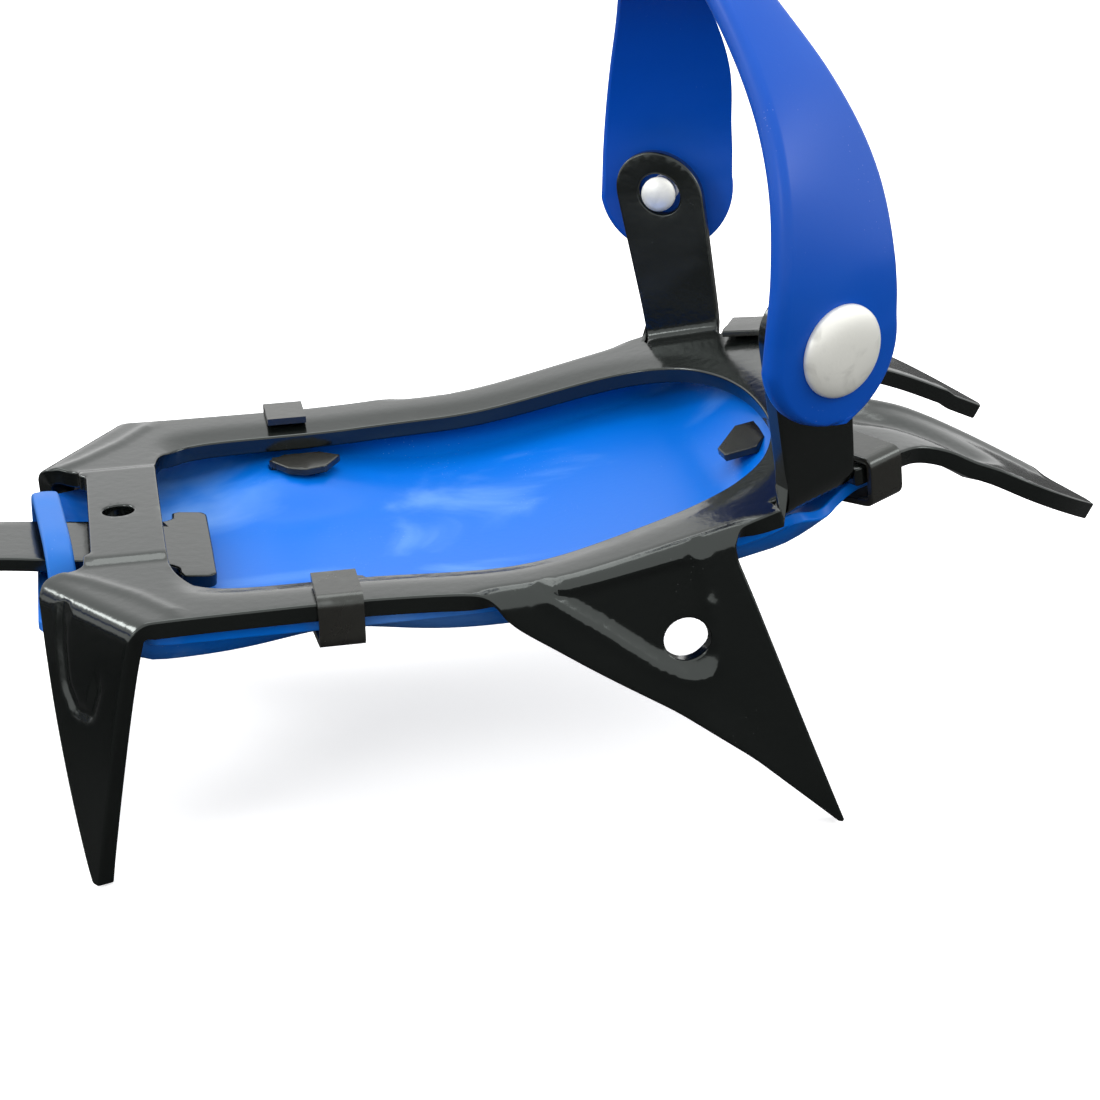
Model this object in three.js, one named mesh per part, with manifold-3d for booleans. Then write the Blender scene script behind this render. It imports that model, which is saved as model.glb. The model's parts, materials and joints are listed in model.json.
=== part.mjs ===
// One strap-on crampon with a flexible toe harness, drawn in millimetres.
// +X points to the toe, +Y to the left of the boot, +Z up.
// While drawing, x = 0, y = 0 is the small hole in the rear crossbar of the front
// section and z = 0 is the top of that crossbar. The finished group is then moved so
// that its origin is under the middle of the crampon, on the ground that the points stand on.

import * as THREE from 'three';
import { TessellateModifier } from 'three/addons/modifiers/TessellateModifier.js';
import { mergeVertices } from 'three/addons/utils/BufferGeometryUtils.js';
import Module from 'manifold-3d';

const wasm = await Module();
wasm.setup();

// Driving sizes.

const steel = 3.0;            // thickness of both pressed frames
const gap = 0.3;              // room left between pieces that touch
const frameEdge = 11;         // longest edge in the front frame before it is bent
const barEdge = 20;           // the same for the link bar
const crossbarHoleRadius = 2.6;
const crossbar = { frontX: 9, panelHalfWidth: 20.1, ridgeFootY: 22.4, panelRise: 0.7 };
const groundDepth = 44;       // from the crossbar top down to the ground
const middleX = -22;          // middle of the whole crampon, seen from above

// Height line of the front frame: flat, then rising, then bent down at the front points.
const riseSlope = 0.235;
const riseStart = 65;
const riseSoftness = 4;
const pointSlope = 0.56;
const pointStart = 127.8;
const pointSoftness = 6;
const flatUntilX = 17;        // the frame is exactly level behind this

const railOuterY = 46;
const openingRearX = 7;
const openingFrontX = 110;
const toeTipX = 161.5;

const post = { x: 108.3, y: 43.7, z: 12, twist: 24, lean: 0.139, footWidth: 13.2, headWidth: 15.2 };
const rivetRise = 24.6;       // along the post, from its foot to the rivet
const rivet = {
  headRadius: 7.3, headHeight: 2.6, headRim: 0.8, shankRadius: 3.0, boreRadius: 3.5,
  tailRadius: 3.2, tailHeight: 1.5, tailGap: 0.7,
};
const harness = { thickness: 4.0, standOff: 2.2, endRadius: 12.6 };

const tray = {
  halfWidth: 44.4, wall: 1.8, rim: steel + gap, wallTopY: 42, wallFootY: 38, wallDrop: 4.9, floorDrop: 2.9,
  rearX: -14.4, frontX: 120,
};
const loop = { rearX: -14.4, frontX: -10.4, halfWidth: 20.4, topZ: 1.1, drop: 9.4, thickness: 1.9 };
const clip = { width: 7, strip: 1.2, tab: 9, drop: 7.0, tipEnd: 20, tipZ: -4.4 };

const bar = { width: 19.4, thickness: 2.4, teeWidth: 29, teeFrontX: 15, teeRearX: 9, rearX: -172 };
const barSlot = { frontX: -66, rearX: -126, width: 6.4 };

const heel = {
  frontX: -88, rearX: -190, halfWidth: 36, railWidth: 12.5, openingFrontX: -105, openingRearX: -176,
};
const clamp = {
  x: -96, boreRadius: 3.3, screwRadius: 2.8, screwEnd: -17.5, headRadius: 6,
  washerRadius: 7.5, nutLow: -14.5, nutHigh: -7.6,
};
const heelPost = { x: -158, footY: 35.4, lean: 0.12, footWidth: 14, headWidth: 15.2, rivetZ: 34 };

// Materials.

const finish = {
  blackPaint: { color: 0x17191a, roughness: 0.32, metalness: 0.35 },
  bluePlastic: { color: 0x0f4fd0, roughness: 0.38, metalness: 0.0 },
  blueTray: { color: 0x0a62e6, roughness: 0.34, metalness: 0.0 },
  rivetSteel: { color: 0xbfc0ba, roughness: 0.4, metalness: 0.9 },
  zincSteel: { color: 0x8f9290, roughness: 0.42, metalness: 0.9 },
};

const crampon = new THREE.Group();
crampon.name = 'crampon';

function addPart(name, solid, look) {
  const mesh = new THREE.Mesh(solidToGeometry(solid), new THREE.MeshStandardMaterial(finish[look]));
  mesh.name = name;
  crampon.add(mesh);
  return mesh;
}

const axisX = new THREE.Vector3(1, 0, 0);
const axisY = new THREE.Vector3(0, 1, 0);
const axisZ = new THREE.Vector3(0, 0, 1);

// Solids.

function geometryToSolid(source) {
  let geometry = source.index ? source.toNonIndexed() : source.clone();
  geometry.deleteAttribute('normal');
  geometry.deleteAttribute('uv');
  geometry = mergeVertices(geometry, 1e-4);
  const corners = Array.from(geometry.index.array);
  if (signedVolume(geometry) < 0) {
    corners.reverse();
  }
  return new wasm.Manifold(new wasm.Mesh({
    numProp: 3,
    vertProperties: new Float32Array(geometry.attributes.position.array),
    triVerts: new Uint32Array(corners),
  }));
}

// Negative where the faces of a mirrored shape point inwards.
function signedVolume(geometry) {
  const [a, b, c] = [new THREE.Vector3(), new THREE.Vector3(), new THREE.Vector3()];
  const place = geometry.attributes.position;
  const index = geometry.index;
  let volume = 0;
  for (let i = 0; i < index.count; i += 3) {
    a.fromBufferAttribute(place, index.getX(i));
    b.fromBufferAttribute(place, index.getX(i + 1));
    c.fromBufferAttribute(place, index.getX(i + 2));
    volume += a.dot(b.cross(c)) / 6;
  }
  return volume;
}

function solidToGeometry(solid) {
  const mesh = solid.getMesh();
  const geometry = new THREE.BufferGeometry();
  const places = new Float32Array(mesh.numVert * 3);
  for (let i = 0; i < mesh.numVert; i += 1) {
    for (let k = 0; k < 3; k += 1) {
      places[i * 3 + k] = mesh.vertProperties[i * mesh.numProp + k];
    }
  }
  geometry.setAttribute('position', new THREE.BufferAttribute(places, 3));
  geometry.setIndex(new THREE.BufferAttribute(new Uint32Array(mesh.triVerts), 1));
  geometry.computeVertexNormals();
  return geometry;
}

function joinAll(solids) {
  return solids.reduce((sum, solid) => sum.add(solid));
}

function bendVertices(geometry, move) {
  const place = geometry.attributes.position;
  const v = new THREE.Vector3();
  for (let i = 0; i < place.count; i += 1) {
    v.fromBufferAttribute(place, i);
    move(v);
    place.setXYZ(i, v.x, v.y, v.z);
  }
  return geometry;
}

// A smooth line through hand-placed points, as a list of evenly spaced points.
function smoothLine(points, steps) {
  const places = points.map(([x, y]) => new THREE.Vector3(x, y, 0));
  const curve = new THREE.CatmullRomCurve3(places, false, 'centripetal');
  return curve.getSpacedPoints(steps).map((p) => new THREE.Vector2(p.x, p.y));
}

// Splits the long edges of a flat plate so that it can be bent afterwards.
function split(geometry, longest) {
  return new TessellateModifier(longest, 24).modify(geometry);
}

function extruded(outline, holes, depth) {
  const turnedRight = THREE.ShapeUtils.isClockWise(outline) ? outline.slice().reverse() : outline;
  const shape = new THREE.Shape(turnedRight);
  holes.forEach((hole) => shape.holes.push(new THREE.Path(hole)));
  return new THREE.ExtrudeGeometry(shape, { depth, bevelEnabled: false, curveSegments: 10 });
}

function polygon(pairs) {
  return pairs.map(([x, y]) => new THREE.Vector2(x, y));
}

// Puts a flat plate, drawn in u and v with its thickness along w, into space.
function placed(geometry, origin, u, v, w) {
  geometry.applyMatrix4(new THREE.Matrix4().makeBasis(u, v, w));
  geometry.translate(origin.x, origin.y, origin.z);
  return geometry;
}

function smoothStep(value, low, high) {
  const t = Math.min(Math.max((value - low) / (high - low), 0), 1);
  return t * t * (3 - 2 * t);
}

function mirrored(solid) {
  return solid.mirror([0, 1, 0]);
}

function disc(radius, depth, sides) {
  const geometry = new THREE.CylinderGeometry(radius, radius, depth, sides);
  return geometry.rotateX(Math.PI / 2);
}

function box(sizeX, sizeY, sizeZ, x, y, z) {
  return geometryToSolid(new THREE.BoxGeometry(sizeX, sizeY, sizeZ).translate(x, y, z));
}

// The faces between neighbouring rings, which all have the same number of corners.
function ringSides(rings) {
  const corners = rings[0].length;
  const faces = [];
  for (let i = 0; i + 1 < rings.length; i += 1) {
    for (let k = 0; k < corners; k += 1) {
      const a = i * corners + k;
      const b = i * corners + ((k + 1) % corners);
      faces.push(a, b, b + corners, a, b + corners, a + corners);
    }
  }
  return faces;
}

function ringBody(rings, faces) {
  const places = rings.flat().flatMap((p) => [p.x, p.y, p.z]);
  const geometry = new THREE.BufferGeometry();
  geometry.setAttribute('position', new THREE.Float32BufferAttribute(places, 3));
  geometry.setIndex(faces);
  return geometry;
}

// A closed body through a row of rings, with a fan over each end.
function lofted(rings) {
  const corners = rings[0].length;
  const faces = ringSides(rings);
  const last = (rings.length - 1) * corners;
  for (let k = 1; k + 1 < corners; k += 1) {
    faces.push(0, k + 1, k);
    faces.push(last, last + k, last + k + 1);
  }
  return ringBody(rings, faces);
}

// Front frame.

function soften(distance, softness) {
  return softness * Math.log(1 + Math.exp(distance / softness));
}

function frameTop(x) {
  if (x < flatUntilX) {
    return 0;
  }
  const rise = riseSlope * soften(x - riseStart, riseSoftness);
  const fall = (riseSlope + pointSlope) * soften(x - pointStart, pointSoftness);
  return rise - fall;
}

const frontOuterSide = [
  [-5, 20], [-7, 22.5], [-12, 24.5], [-13.5, 28], [0, 46.3], [10, railOuterY], [34, railOuterY - 0.4],
  [46, 46.6], [56, 48.4], [74, 47.7], [92.5, 46.6], [99, 46.6], [101.6, 45.6], [114.6, 40.6],
  [118, 38.6], [123.5, 35.6], [128, 32.4], [134, 32.2], [141, 33.6], [147, 34.2], [152, 32.8],
  [157, 30.2], [toeTipX, 27],
];
const frontInnerSide = [
  [161, 25], [157, 23], [152, 20.5], [147, 18.4], [141, 15.8], [132, 11], [125, 9], [121, 6.5], [119, 3],
];
const frontOpeningSide = [
  [openingRearX, 0], [openingRearX, 20], [openingRearX, 23], [8.2, 28.4], [12, 32.6], [18, 34.1], [38, 34.3],
  [50, 35.9], [58, 36.5], [68, 36], [86, 34.2], [92, 32.8],
  [98, 30.2], [104, 24.6], [107.8, 16.5], [109.6, 8], [openingFrontX, 0],
];

function bothSides(side) {
  const right = side.filter(([, y]) => y > 0).map(([x, y]) => [x, -y]).reverse();
  return polygon([...side, ...right]);
}

// The middle of the crossbar is pressed up into a level panel between two ridges.
function crossbarPanel(x, y) {
  if (x > crossbar.frontX) {
    return 0;
  }
  return crossbar.panelRise * (1 - smoothStep(Math.abs(y), crossbar.panelHalfWidth, crossbar.ridgeFootY));
}

function frontFrameSheet() {
  const outline = bothSides([...frontOuterSide, ...frontInnerSide]);
  const sheet = split(extruded(outline, [bothSides(frontOpeningSide)], steel), frameEdge);
  return bendVertices(sheet, (v) => {
    v.z += frameTop(v.x) - steel + crossbarPanel(v.x, v.y);
  });
}

// A point at a rear corner: drawn along its fold (u) and downwards (v).
const cornerPointOutline = [
  [-11, -0.4], [10.6, -0.4], [9.8, -6], [8.8, -16], [7.4, -30],
  [6.4, -groundDepth], [4.6, -groundDepth], [2.4, -40], [-2.5, -30.5], [-7.1, -20], [-10.7, -10],
];
const cornerPointLean = 0.17;
const cornerFold = { x: -6, y: 37.5, angle: Math.atan2(0.83, 0.555) };

function cornerPoint(foldX, foldY, foldAngle) {
  const along = new THREE.Vector3(Math.cos(foldAngle), Math.sin(foldAngle), 0);
  const outward = new THREE.Vector3(-Math.sin(foldAngle), Math.cos(foldAngle), 0);
  const plate = extruded(polygon(cornerPointOutline), [], steel);
  bendVertices(plate, (v) => {
    const reach = cornerPointLean * -v.y - steel + v.z;
    const place = along.clone().multiplyScalar(v.x).addScaledVector(outward, reach);
    v.set(foldX + place.x, foldY + place.y, v.y);
  });
  return plate;
}

// The large triangular side point, drawn in x and z, leaning outwards as it goes down.
const sidePointOutline = [
  [55, -1.2], [57.2, -5.4], [65, -10.7], [83, -22.3], [95.3, -31.4],
  [108.6, -groundDepth], [110.2, -groundDepth], [103.8, -26.8],
  [96, -5], [92.4, 5], [84, 3.4], [74, 1.4], [64, -0.8],
];
const sidePointLean = 0.125;
const sidePointY = 48.3;
const sidePointHole = { x: 85.2, z: -10.8, radius: 3.5 };

function sidePoint() {
  const { x, z, radius } = sidePointHole;
  const hole = new THREE.Path().absarc(x, z, radius, 0, Math.PI * 2, true);
  const shape = new THREE.Shape(polygon(sidePointOutline));
  shape.holes.push(hole);
  const plate = new THREE.ExtrudeGeometry(shape, { depth: steel, bevelEnabled: false, curveSegments: 16 });
  bendVertices(plate, (v) => {
    const outerFace = sidePointY + sidePointLean * Math.max(-v.y, 0);
    v.set(v.x, outerFace - v.z, v.y);
  });
  return plate;
}

const postAngle = THREE.MathUtils.degToRad(-post.twist);
const postAcross = new THREE.Vector3(Math.cos(postAngle), Math.sin(postAngle), 0);
const postUp = new THREE.Vector3(-post.lean, post.lean, 1).normalize();
const postOut = new THREE.Vector3().crossVectors(postUp, postAcross).normalize();
const postSide = new THREE.Vector3().crossVectors(postOut, postUp).normalize();
const postFoot = new THREE.Vector3(post.x, post.y, post.z);
const toeRivet = postFoot.clone().addScaledVector(postUp, rivetRise);

function postOutline(footWidth, headWidth, footDepth, rise) {
  const radius = headWidth / 2 + 0.2;
  const shape = [[-footWidth / 2, -footDepth], [footWidth / 2, -footDepth]];
  for (let i = 0; i <= 12; i += 1) {
    const angle = (Math.PI * i) / 12;
    shape.push([radius * Math.cos(angle), rise + radius * Math.sin(angle)]);
  }
  return polygon(shape);
}

function boreAt(place, axis, radius) {
  const cutter = disc(radius, 20, 20);
  const turn = new THREE.Quaternion().setFromUnitVectors(new THREE.Vector3(0, 0, 1), axis);
  cutter.applyQuaternion(turn);
  cutter.translate(place.x, place.y, place.z);
  return geometryToSolid(cutter);
}

function toePost() {
  const plate = extruded(postOutline(post.footWidth, post.headWidth, 3.6, rivetRise), [], steel);
  plate.translate(0, 0, -steel);
  const solid = geometryToSolid(placed(plate, postFoot, postSide, postUp, postOut));
  return solid.subtract(boreAt(toeRivet, postOut, rivet.boreRadius));
}

function frontFrame() {
  const sheet = geometryToSolid(frontFrameSheet());
  const corner = geometryToSolid(cornerPoint(cornerFold.x, cornerFold.y, cornerFold.angle));
  const side = geometryToSolid(sidePoint());
  const upright = toePost();
  const left = joinAll([corner, side, upright]);
  const drill = geometryToSolid(disc(crossbarHoleRadius, 12, 20));
  return joinAll([sheet, left, mirrored(left)]).subtract(drill);
}

addPart('front_frame', frontFrame(), 'blackPaint');

// Snow trays.

// Depth of the tray below the frame top: a flat rim, a short wall and a bowed floor.
function trayDepth(y, rimY, wallFootY, wallDrop, floorDrop) {
  const across = Math.abs(y);
  const wall = wallDrop * (1 - smoothStep(across, wallFootY, rimY));
  const floor = floorDrop * Math.max(0, 1 - (across / wallFootY) ** 2);
  return wall + floor;
}

function frontTrayTop(x, y) {
  const ends = smoothStep(x, -16, 6) * (1 - smoothStep(x, 98, 116));
  const rearFloor = 1 - smoothStep(x, -4, 10);
  const pad = Math.exp(-(((x - 31.7) / 10.5) ** 4)) * smoothStep(Math.abs(y), 20, 26);
  const full = trayDepth(y, tray.wallTopY, tray.wallFootY, tray.wallDrop, tray.floorDrop);
  const underBar = 1 - smoothStep(Math.abs(y), 21, 25);
  const channel = 5.6 * rearFloor * underBar * (1 - ends);
  return frameTop(x) - tray.rim - full * ends * (1 - 0.55 * pad) - channel;
}

function trayShell(rows, halfWidth, top, wall, columns) {
  const ringOf = (x) => {
    const ring = [];
    const half = halfWidth(x);
    for (let k = 0; k <= columns; k += 1) {
      const y = half * (1 - (2 * k) / columns);
      ring.push(new THREE.Vector3(x, y, top(x, y) - wall));
    }
    for (let k = 0; k <= columns; k += 1) {
      const y = half * ((2 * k) / columns - 1);
      ring.push(new THREE.Vector3(x, y, top(x, y)));
    }
    return ring;
  };
  return sheetFromRings(rows.map(ringOf), columns);
}

// Rings run along the underside from left to right and back along the top.
function sheetFromRings(rings, columns) {
  const corners = rings[0].length;
  const faces = ringSides(rings);
  const last = (rings.length - 1) * corners;
  for (let a = 0; a < columns; a += 1) {
    const b = a + 1;
    const c = corners - 2 - a;
    const d = corners - 1 - a;
    faces.push(a, c, b, a, d, c);
    faces.push(last + a, last + b, last + c, last + a, last + c, last + d);
  }
  return ringBody(rings, faces);
}

function steppedRows(low, high, step) {
  const count = Math.round((high - low) / step);
  return Array.from({ length: count + 1 }, (_, i) => low + ((high - low) * i) / count);
}

// The tray is narrow between the rear corner points, then follows their folds outwards.
function frontTrayHalfWidth(x) {
  const besideFold = Math.max(21, 25.2 + 1.49 * (x + 9.5));
  const toe = 9 * smoothStep(x, 96, 121);
  return Math.min(besideFold, tray.halfWidth) - toe;
}

// The loop at the back of the tray that passes over the link bar.
function trayLoop() {
  const rings = [];
  const steps = 14;
  for (let i = 0; i <= steps; i += 1) {
    const t = (i / steps) * 2 - 1;
    const y = loop.halfWidth * t;
    const z = loop.topZ - loop.drop * Math.abs(t) ** 5;
    rings.push([
      new THREE.Vector3(loop.rearX, y, z),
      new THREE.Vector3(loop.frontX, y, z),
      new THREE.Vector3(loop.frontX, y, z - loop.thickness),
      new THREE.Vector3(loop.rearX, y, z - loop.thickness),
    ]);
  }
  return geometryToSolid(lofted(rings));
}

const frontClipX = 31.7;
const toeClip = { x: 119.6, y: 37.6, turn: -28, slope: 6 };

function frontTray() {
  const rows = steppedRows(tray.rearX, tray.frontX, 6.5);
  const shell = geometryToSolid(trayShell(rows, frontTrayHalfWidth, frontTrayTop, tray.wall, 16));
  const slot = box(clip.width + 1.6, 3.2, 16, frontClipX, railOuterY - 13, -6);
  const slots = [slot, mirrored(slot)];
  return joinAll([shell, trayLoop()]).subtract(joinAll(slots));
}

addPart('front_snow_tray', frontTray(), 'blueTray');

// Clips.

// Drawn in y (outwards from the rail edge) and z (from the frame top).
function clipSolid({ legEnd, legDrop, withTip }) {
  const s = clip.strip;
  const outer = gap + s;
  const legZ = -clip.drop - legDrop;
  const tip = withTip
    ? [[-legEnd - s, legZ], [-legEnd - s, clip.tipZ - s], [-clip.tipEnd, clip.tipZ - s],
      [-clip.tipEnd, clip.tipZ], [-legEnd, clip.tipZ], [-legEnd, legZ + s]]
    : [[-legEnd, legZ], [-legEnd, legZ + s]];
  const profile = [
    [-clip.tab, gap], [-clip.tab, outer], [outer - 0.5, outer], [outer, outer - 0.5],
    [outer, -clip.drop], ...tip, [gap, s - clip.drop], [gap, gap],
  ];
  const strip = extruded(polygon(profile), [], clip.width);
  strip.translate(0, 0, -clip.width / 2);
  return geometryToSolid(placed(strip, new THREE.Vector3(), axisY, axisZ, axisX));
}

function turned(solid, angleY, angleZ, place) {
  return solid.rotate([0, angleY, 0]).rotate([0, 0, angleZ]).translate([place.x, place.y, place.z]);
}

function addPair(leftName, rightName, solid, look) {
  addPart(leftName, solid, look);
  addPart(rightName, mirrored(solid), look);
}

const sideClip = clipSolid({ legEnd: 12, legDrop: 2.7, withTip: true });
const sideClipSolid = sideClip.translate([frontClipX, railOuterY - 0.2, 0]);
addPair('front_left_side_clip', 'front_right_side_clip', sideClipSolid, 'blackPaint');

const toeClipPlace = new THREE.Vector3(toeClip.x, toeClip.y, frameTop(toeClip.x));
const toeClipFlat = clipSolid({ legEnd: 10, legDrop: 1.4, withTip: false });
const toeClipSolid = turned(toeClipFlat, -toeClip.slope, toeClip.turn, toeClipPlace);
addPair('front_left_toe_clip', 'front_right_toe_clip', toeClipSolid, 'blackPaint');

// Link bar.

// Top of the bar: its hook end lies low in the opening, then it rises behind the crossbar.
const barStraight = { fromX: -54, top: -3.3 };
const barTopPoints = [
  [bar.teeFrontX, -6.6], [0, -4.7], [-20, -1.95], [-30, -1.7], [-44, -3.0],
  [barStraight.fromX, barStraight.top],
];
const barTopLine = smoothLine(barTopPoints, 60);

function barTop(x) {
  if (x <= barStraight.fromX) {
    return barStraight.top;
  }
  for (let i = 0; i + 1 < barTopLine.length; i += 1) {
    const a = barTopLine[i];
    const b = barTopLine[i + 1];
    if (x <= a.x && x >= b.x) {
      return a.y + ((b.y - a.y) * (x - a.x)) / (b.x - a.x);
    }
  }
  return barTopLine[0].y;
}

function linkBar() {
  const half = bar.width / 2;
  const tee = bar.teeWidth / 2;
  const side = [
    [bar.teeFrontX, tee - 1], [bar.teeFrontX - 1, tee], [bar.teeRearX + 0.6, tee], [bar.teeRearX, tee - 0.6],
    [bar.teeRearX, half + 1.5], [bar.teeRearX - 1.5, half], [bar.rearX + 6, half],
    [bar.rearX + 1.8, half - 1.8], [bar.rearX, half - 6],
  ];
  const outline = bothSides(side).reverse();
  const slotHalf = barSlot.width / 2;
  const slot = new THREE.Path();
  slot.moveTo(barSlot.rearX, -slotHalf);
  slot.lineTo(barSlot.frontX, -slotHalf);
  slot.absarc(barSlot.frontX, 0, slotHalf, -Math.PI / 2, Math.PI / 2, false);
  slot.lineTo(barSlot.rearX, slotHalf);
  slot.absarc(barSlot.rearX, 0, slotHalf, Math.PI / 2, (3 * Math.PI) / 2, false);
  const shape = new THREE.Shape(outline);
  shape.holes.push(slot);
  const options = { depth: bar.thickness, bevelEnabled: false, curveSegments: 8 };
  const flat = new THREE.ExtrudeGeometry(shape, options);
  return bendVertices(split(flat, barEdge), (v) => {
    v.z += barTop(v.x) - bar.thickness;
  });
}

addPart('link_bar', geometryToSolid(linkBar()), 'blackPaint');

// Toe harness.

// Each row: middle of the band, its width and how far its face is turned towards the toe.
const toeHarnessLine = [
  { x: 105.9, y: 51.0, z: 37, width: 25.2, turn: 24 },
  { x: 107, y: 50.8, z: 48, width: 24, turn: 28 },
  { x: 106.5, y: 46.9, z: 60, width: 22.4, turn: 34 },
  { x: 103.5, y: 40.3, z: 72, width: 16.4, turn: 30 },
  { x: 98.5, y: 28.5, z: 84, width: 10.6, turn: 24 },
  { x: 94.5, y: 14.5, z: 92.6, width: 9.4, turn: 10 },
  { x: 93.2, y: 0, z: 95.5, width: 9.2, turn: 0 },
];

// One ring of a band: across points along its width, the corners are rounded off.
function bandRing(middle, tangent, acrossHint, width, thickness) {
  const across = acrossHint.clone().addScaledVector(tangent, -acrossHint.dot(tangent)).normalize();
  const outward = new THREE.Vector3().crossVectors(tangent, across).normalize();
  const w = width / 2;
  const t = thickness / 2;
  const soft = Math.min(0.9, w * 0.4);
  const corners = [
    [w, t - soft], [w - soft, t], [soft - w, t], [-w, t - soft],
    [-w, soft - t], [soft - w, -t], [w - soft, -t], [w, soft - t],
  ];
  return corners.map(([a, b]) => middle.clone().addScaledVector(across, a).addScaledVector(outward, b));
}

// The round lower end of a harness arm, from its tip up to the rivet.
function roundEndRings(rivetPlace, up, across, radius, thickness) {
  const count = 6;
  return Array.from({ length: count }, (_, i) => {
    const angle = (Math.PI / 2) * (1 - i / count);
    const middle = rivetPlace.clone().addScaledVector(up, -radius * 0.985 * Math.sin(angle));
    return bandRing(middle, up, across, 2 * radius * Math.max(Math.cos(angle), 0.17), thickness);
  });
}

// Rings along a smooth line through the places, with width and across direction between them.
function bandRings(line, places, startUp, thickness, steps) {
  const curve = new THREE.CatmullRomCurve3(places, false, 'centripetal');
  return Array.from({ length: steps + 1 }, (_, i) => {
    const t = i / steps;
    const settled = smoothStep(t, 0, 0.14);
    const tangent = curve.getTangent(t).multiplyScalar(settled);
    tangent.addScaledVector(startUp, 1 - settled).normalize();
    const spot = t * (line.length - 1);
    const low = Math.min(Math.floor(spot), line.length - 2);
    const share = smoothStep(spot - low, 0, 1);
    const across = line[low].across.clone().lerp(line[low + 1].across, share);
    const width = THREE.MathUtils.lerp(line[low].width, line[low + 1].width, share);
    return bandRing(curve.getPoint(t), tangent, across, width, thickness);
  });
}

function toeHarness() {
  const armPoint = toeRivet.clone().addScaledVector(postOut, harness.standOff + harness.thickness / 2);
  const line = toeHarnessLine.map((row) => {
    const turn = THREE.MathUtils.degToRad(row.turn);
    return { width: row.width, across: new THREE.Vector3(Math.cos(turn), -Math.sin(turn), 0) };
  });
  const places = toeHarnessLine.map((row) => new THREE.Vector3(row.x, row.y, row.z));
  places[0].copy(armPoint);
  const rings = [
    ...roundEndRings(armPoint, postUp, postAcross, harness.endRadius, harness.thickness),
    ...bandRings(line, places, postUp, harness.thickness, 24),
  ];
  const arm = geometryToSolid(lofted(rings)).subtract(boreAt(armPoint, postOut, rivet.shankRadius + gap));
  const crownZ = toeHarnessLine[toeHarnessLine.length - 1].z;
  const eyeOutline = polygon([
    [96, 13], [94, 15.5], [77, 17], [73, 15], [73, -15], [77, -17], [94, -15.5], [96, -13],
  ]);
  const eyeSlot = polygon([[84.5, 12], [84.5, -12], [78, -12], [78, 12]]);
  const eye = extruded(eyeOutline, [eyeSlot], harness.thickness);
  eye.translate(0, 0, crownZ - harness.thickness / 2 - 0.6);
  return joinAll([arm, mirrored(arm), geometryToSolid(eye)]);
}

addPart('toe_harness', toeHarness(), 'bluePlastic');

// The rivet's axis is z here: z = 0 is the outer face of the post, +z points away from the boot.
function rivetSolid(armFace) {
  const headFoot = armFace + gap;
  const tailTop = -steel - rivet.tailGap;
  const { headRadius, headHeight, tailRadius, tailHeight, shankRadius } = rivet;
  const profile = [
    [0, tailTop - tailHeight], [tailRadius * 0.6, tailTop - tailHeight * 0.85],
    [tailRadius, tailTop - tailHeight * 0.3], [tailRadius, tailTop],
    [shankRadius, tailTop], [shankRadius, headFoot], [headRadius, headFoot],
    [headRadius, headFoot + rivet.headRim], [headRadius * 0.82, headFoot + headHeight * 0.72],
    [headRadius * 0.45, headFoot + headHeight * 0.95], [0, headFoot + headHeight],
  ];
  const lathe = new THREE.LatheGeometry(polygon(profile), 18);
  return lathe.rotateX(Math.PI / 2);
}

function rivetAt(place, axis, armFace) {
  const geometry = rivetSolid(armFace);
  geometry.applyQuaternion(new THREE.Quaternion().setFromUnitVectors(new THREE.Vector3(0, 0, 1), axis));
  geometry.translate(place.x, place.y, place.z);
  return geometryToSolid(geometry);
}

const armFar = harness.standOff + harness.thickness;
addPair('toe_rivet_left', 'toe_rivet_right', rivetAt(toeRivet, postOut, armFar), 'rivetSteel');

// Heel frame.

const heelPostUp = new THREE.Vector3(0, heelPost.lean, 1).normalize();
const heelPostOut = new THREE.Vector3(0, 1, -heelPost.lean).normalize();
const heelFoot = new THREE.Vector3(heelPost.x, heelPost.footY, 0);
const heelRivetRise = heelPost.rivetZ / heelPostUp.z;
const heelRivet = heelFoot.clone().addScaledVector(heelPostUp, heelRivetRise);

function heelFrame() {
  const w = heel.halfWidth;
  const inner = w - heel.railWidth;
  const outerSide = [
    [heel.frontX, 0], [heel.frontX, w - 12], [heel.frontX - 1.5, w - 8], [heel.frontX - 12, w - 0.5],
    [-112, w], [-150, w], [heel.rearX + 14, w - 1.5], [heel.rearX + 9, w - 6], [heel.rearX + 1, w - 20],
    [heel.rearX, w - 26],
  ];
  const openingSide = [
    [heel.openingFrontX, 0], [heel.openingFrontX, inner - 5], [heel.openingFrontX - 5, inner],
    [heel.openingRearX + 9, inner], [heel.openingRearX + 2.5, inner - 6], [heel.openingRearX, inner - 14],
  ];
  const sheet = extruded(bothSides(outerSide), [bothSides(openingSide)], steel);
  sheet.translate(0, 0, -steel);
  const frontCorner = geometryToSolid(cornerPoint(-94.2, 30.2, Math.atan2(0.6, -0.8) - Math.PI));
  const rearCorner = geometryToSolid(cornerPoint(-184.6, 21.5, Math.atan2(0.86, 0.51)));
  const { footWidth, headWidth } = heelPost;
  const plate = extruded(postOutline(footWidth, headWidth, 2.6, heelRivetRise), [], steel);
  plate.translate(0, 0, -steel);
  const across = axisX.clone().negate();
  const upright = geometryToSolid(placed(plate, heelFoot, across, heelPostUp, heelPostOut))
    .subtract(boreAt(heelRivet, heelPostOut, rivet.boreRadius));
  const left = joinAll([frontCorner, rearCorner, upright]);
  const clampBore = disc(clamp.boreRadius, 12, 20).translate(clamp.x, 0, 0);
  return joinAll([geometryToSolid(sheet), left, mirrored(left)]).subtract(geometryToSolid(clampBore));
}

addPart('heel_frame', heelFrame(), 'blackPaint');

// Heel tray and clips.

const heelTray = { frontX: -108, rearX: -175, halfWidth: 34.8, wall: 1.8, drop: 4.5, bow: 1.4 };

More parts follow.
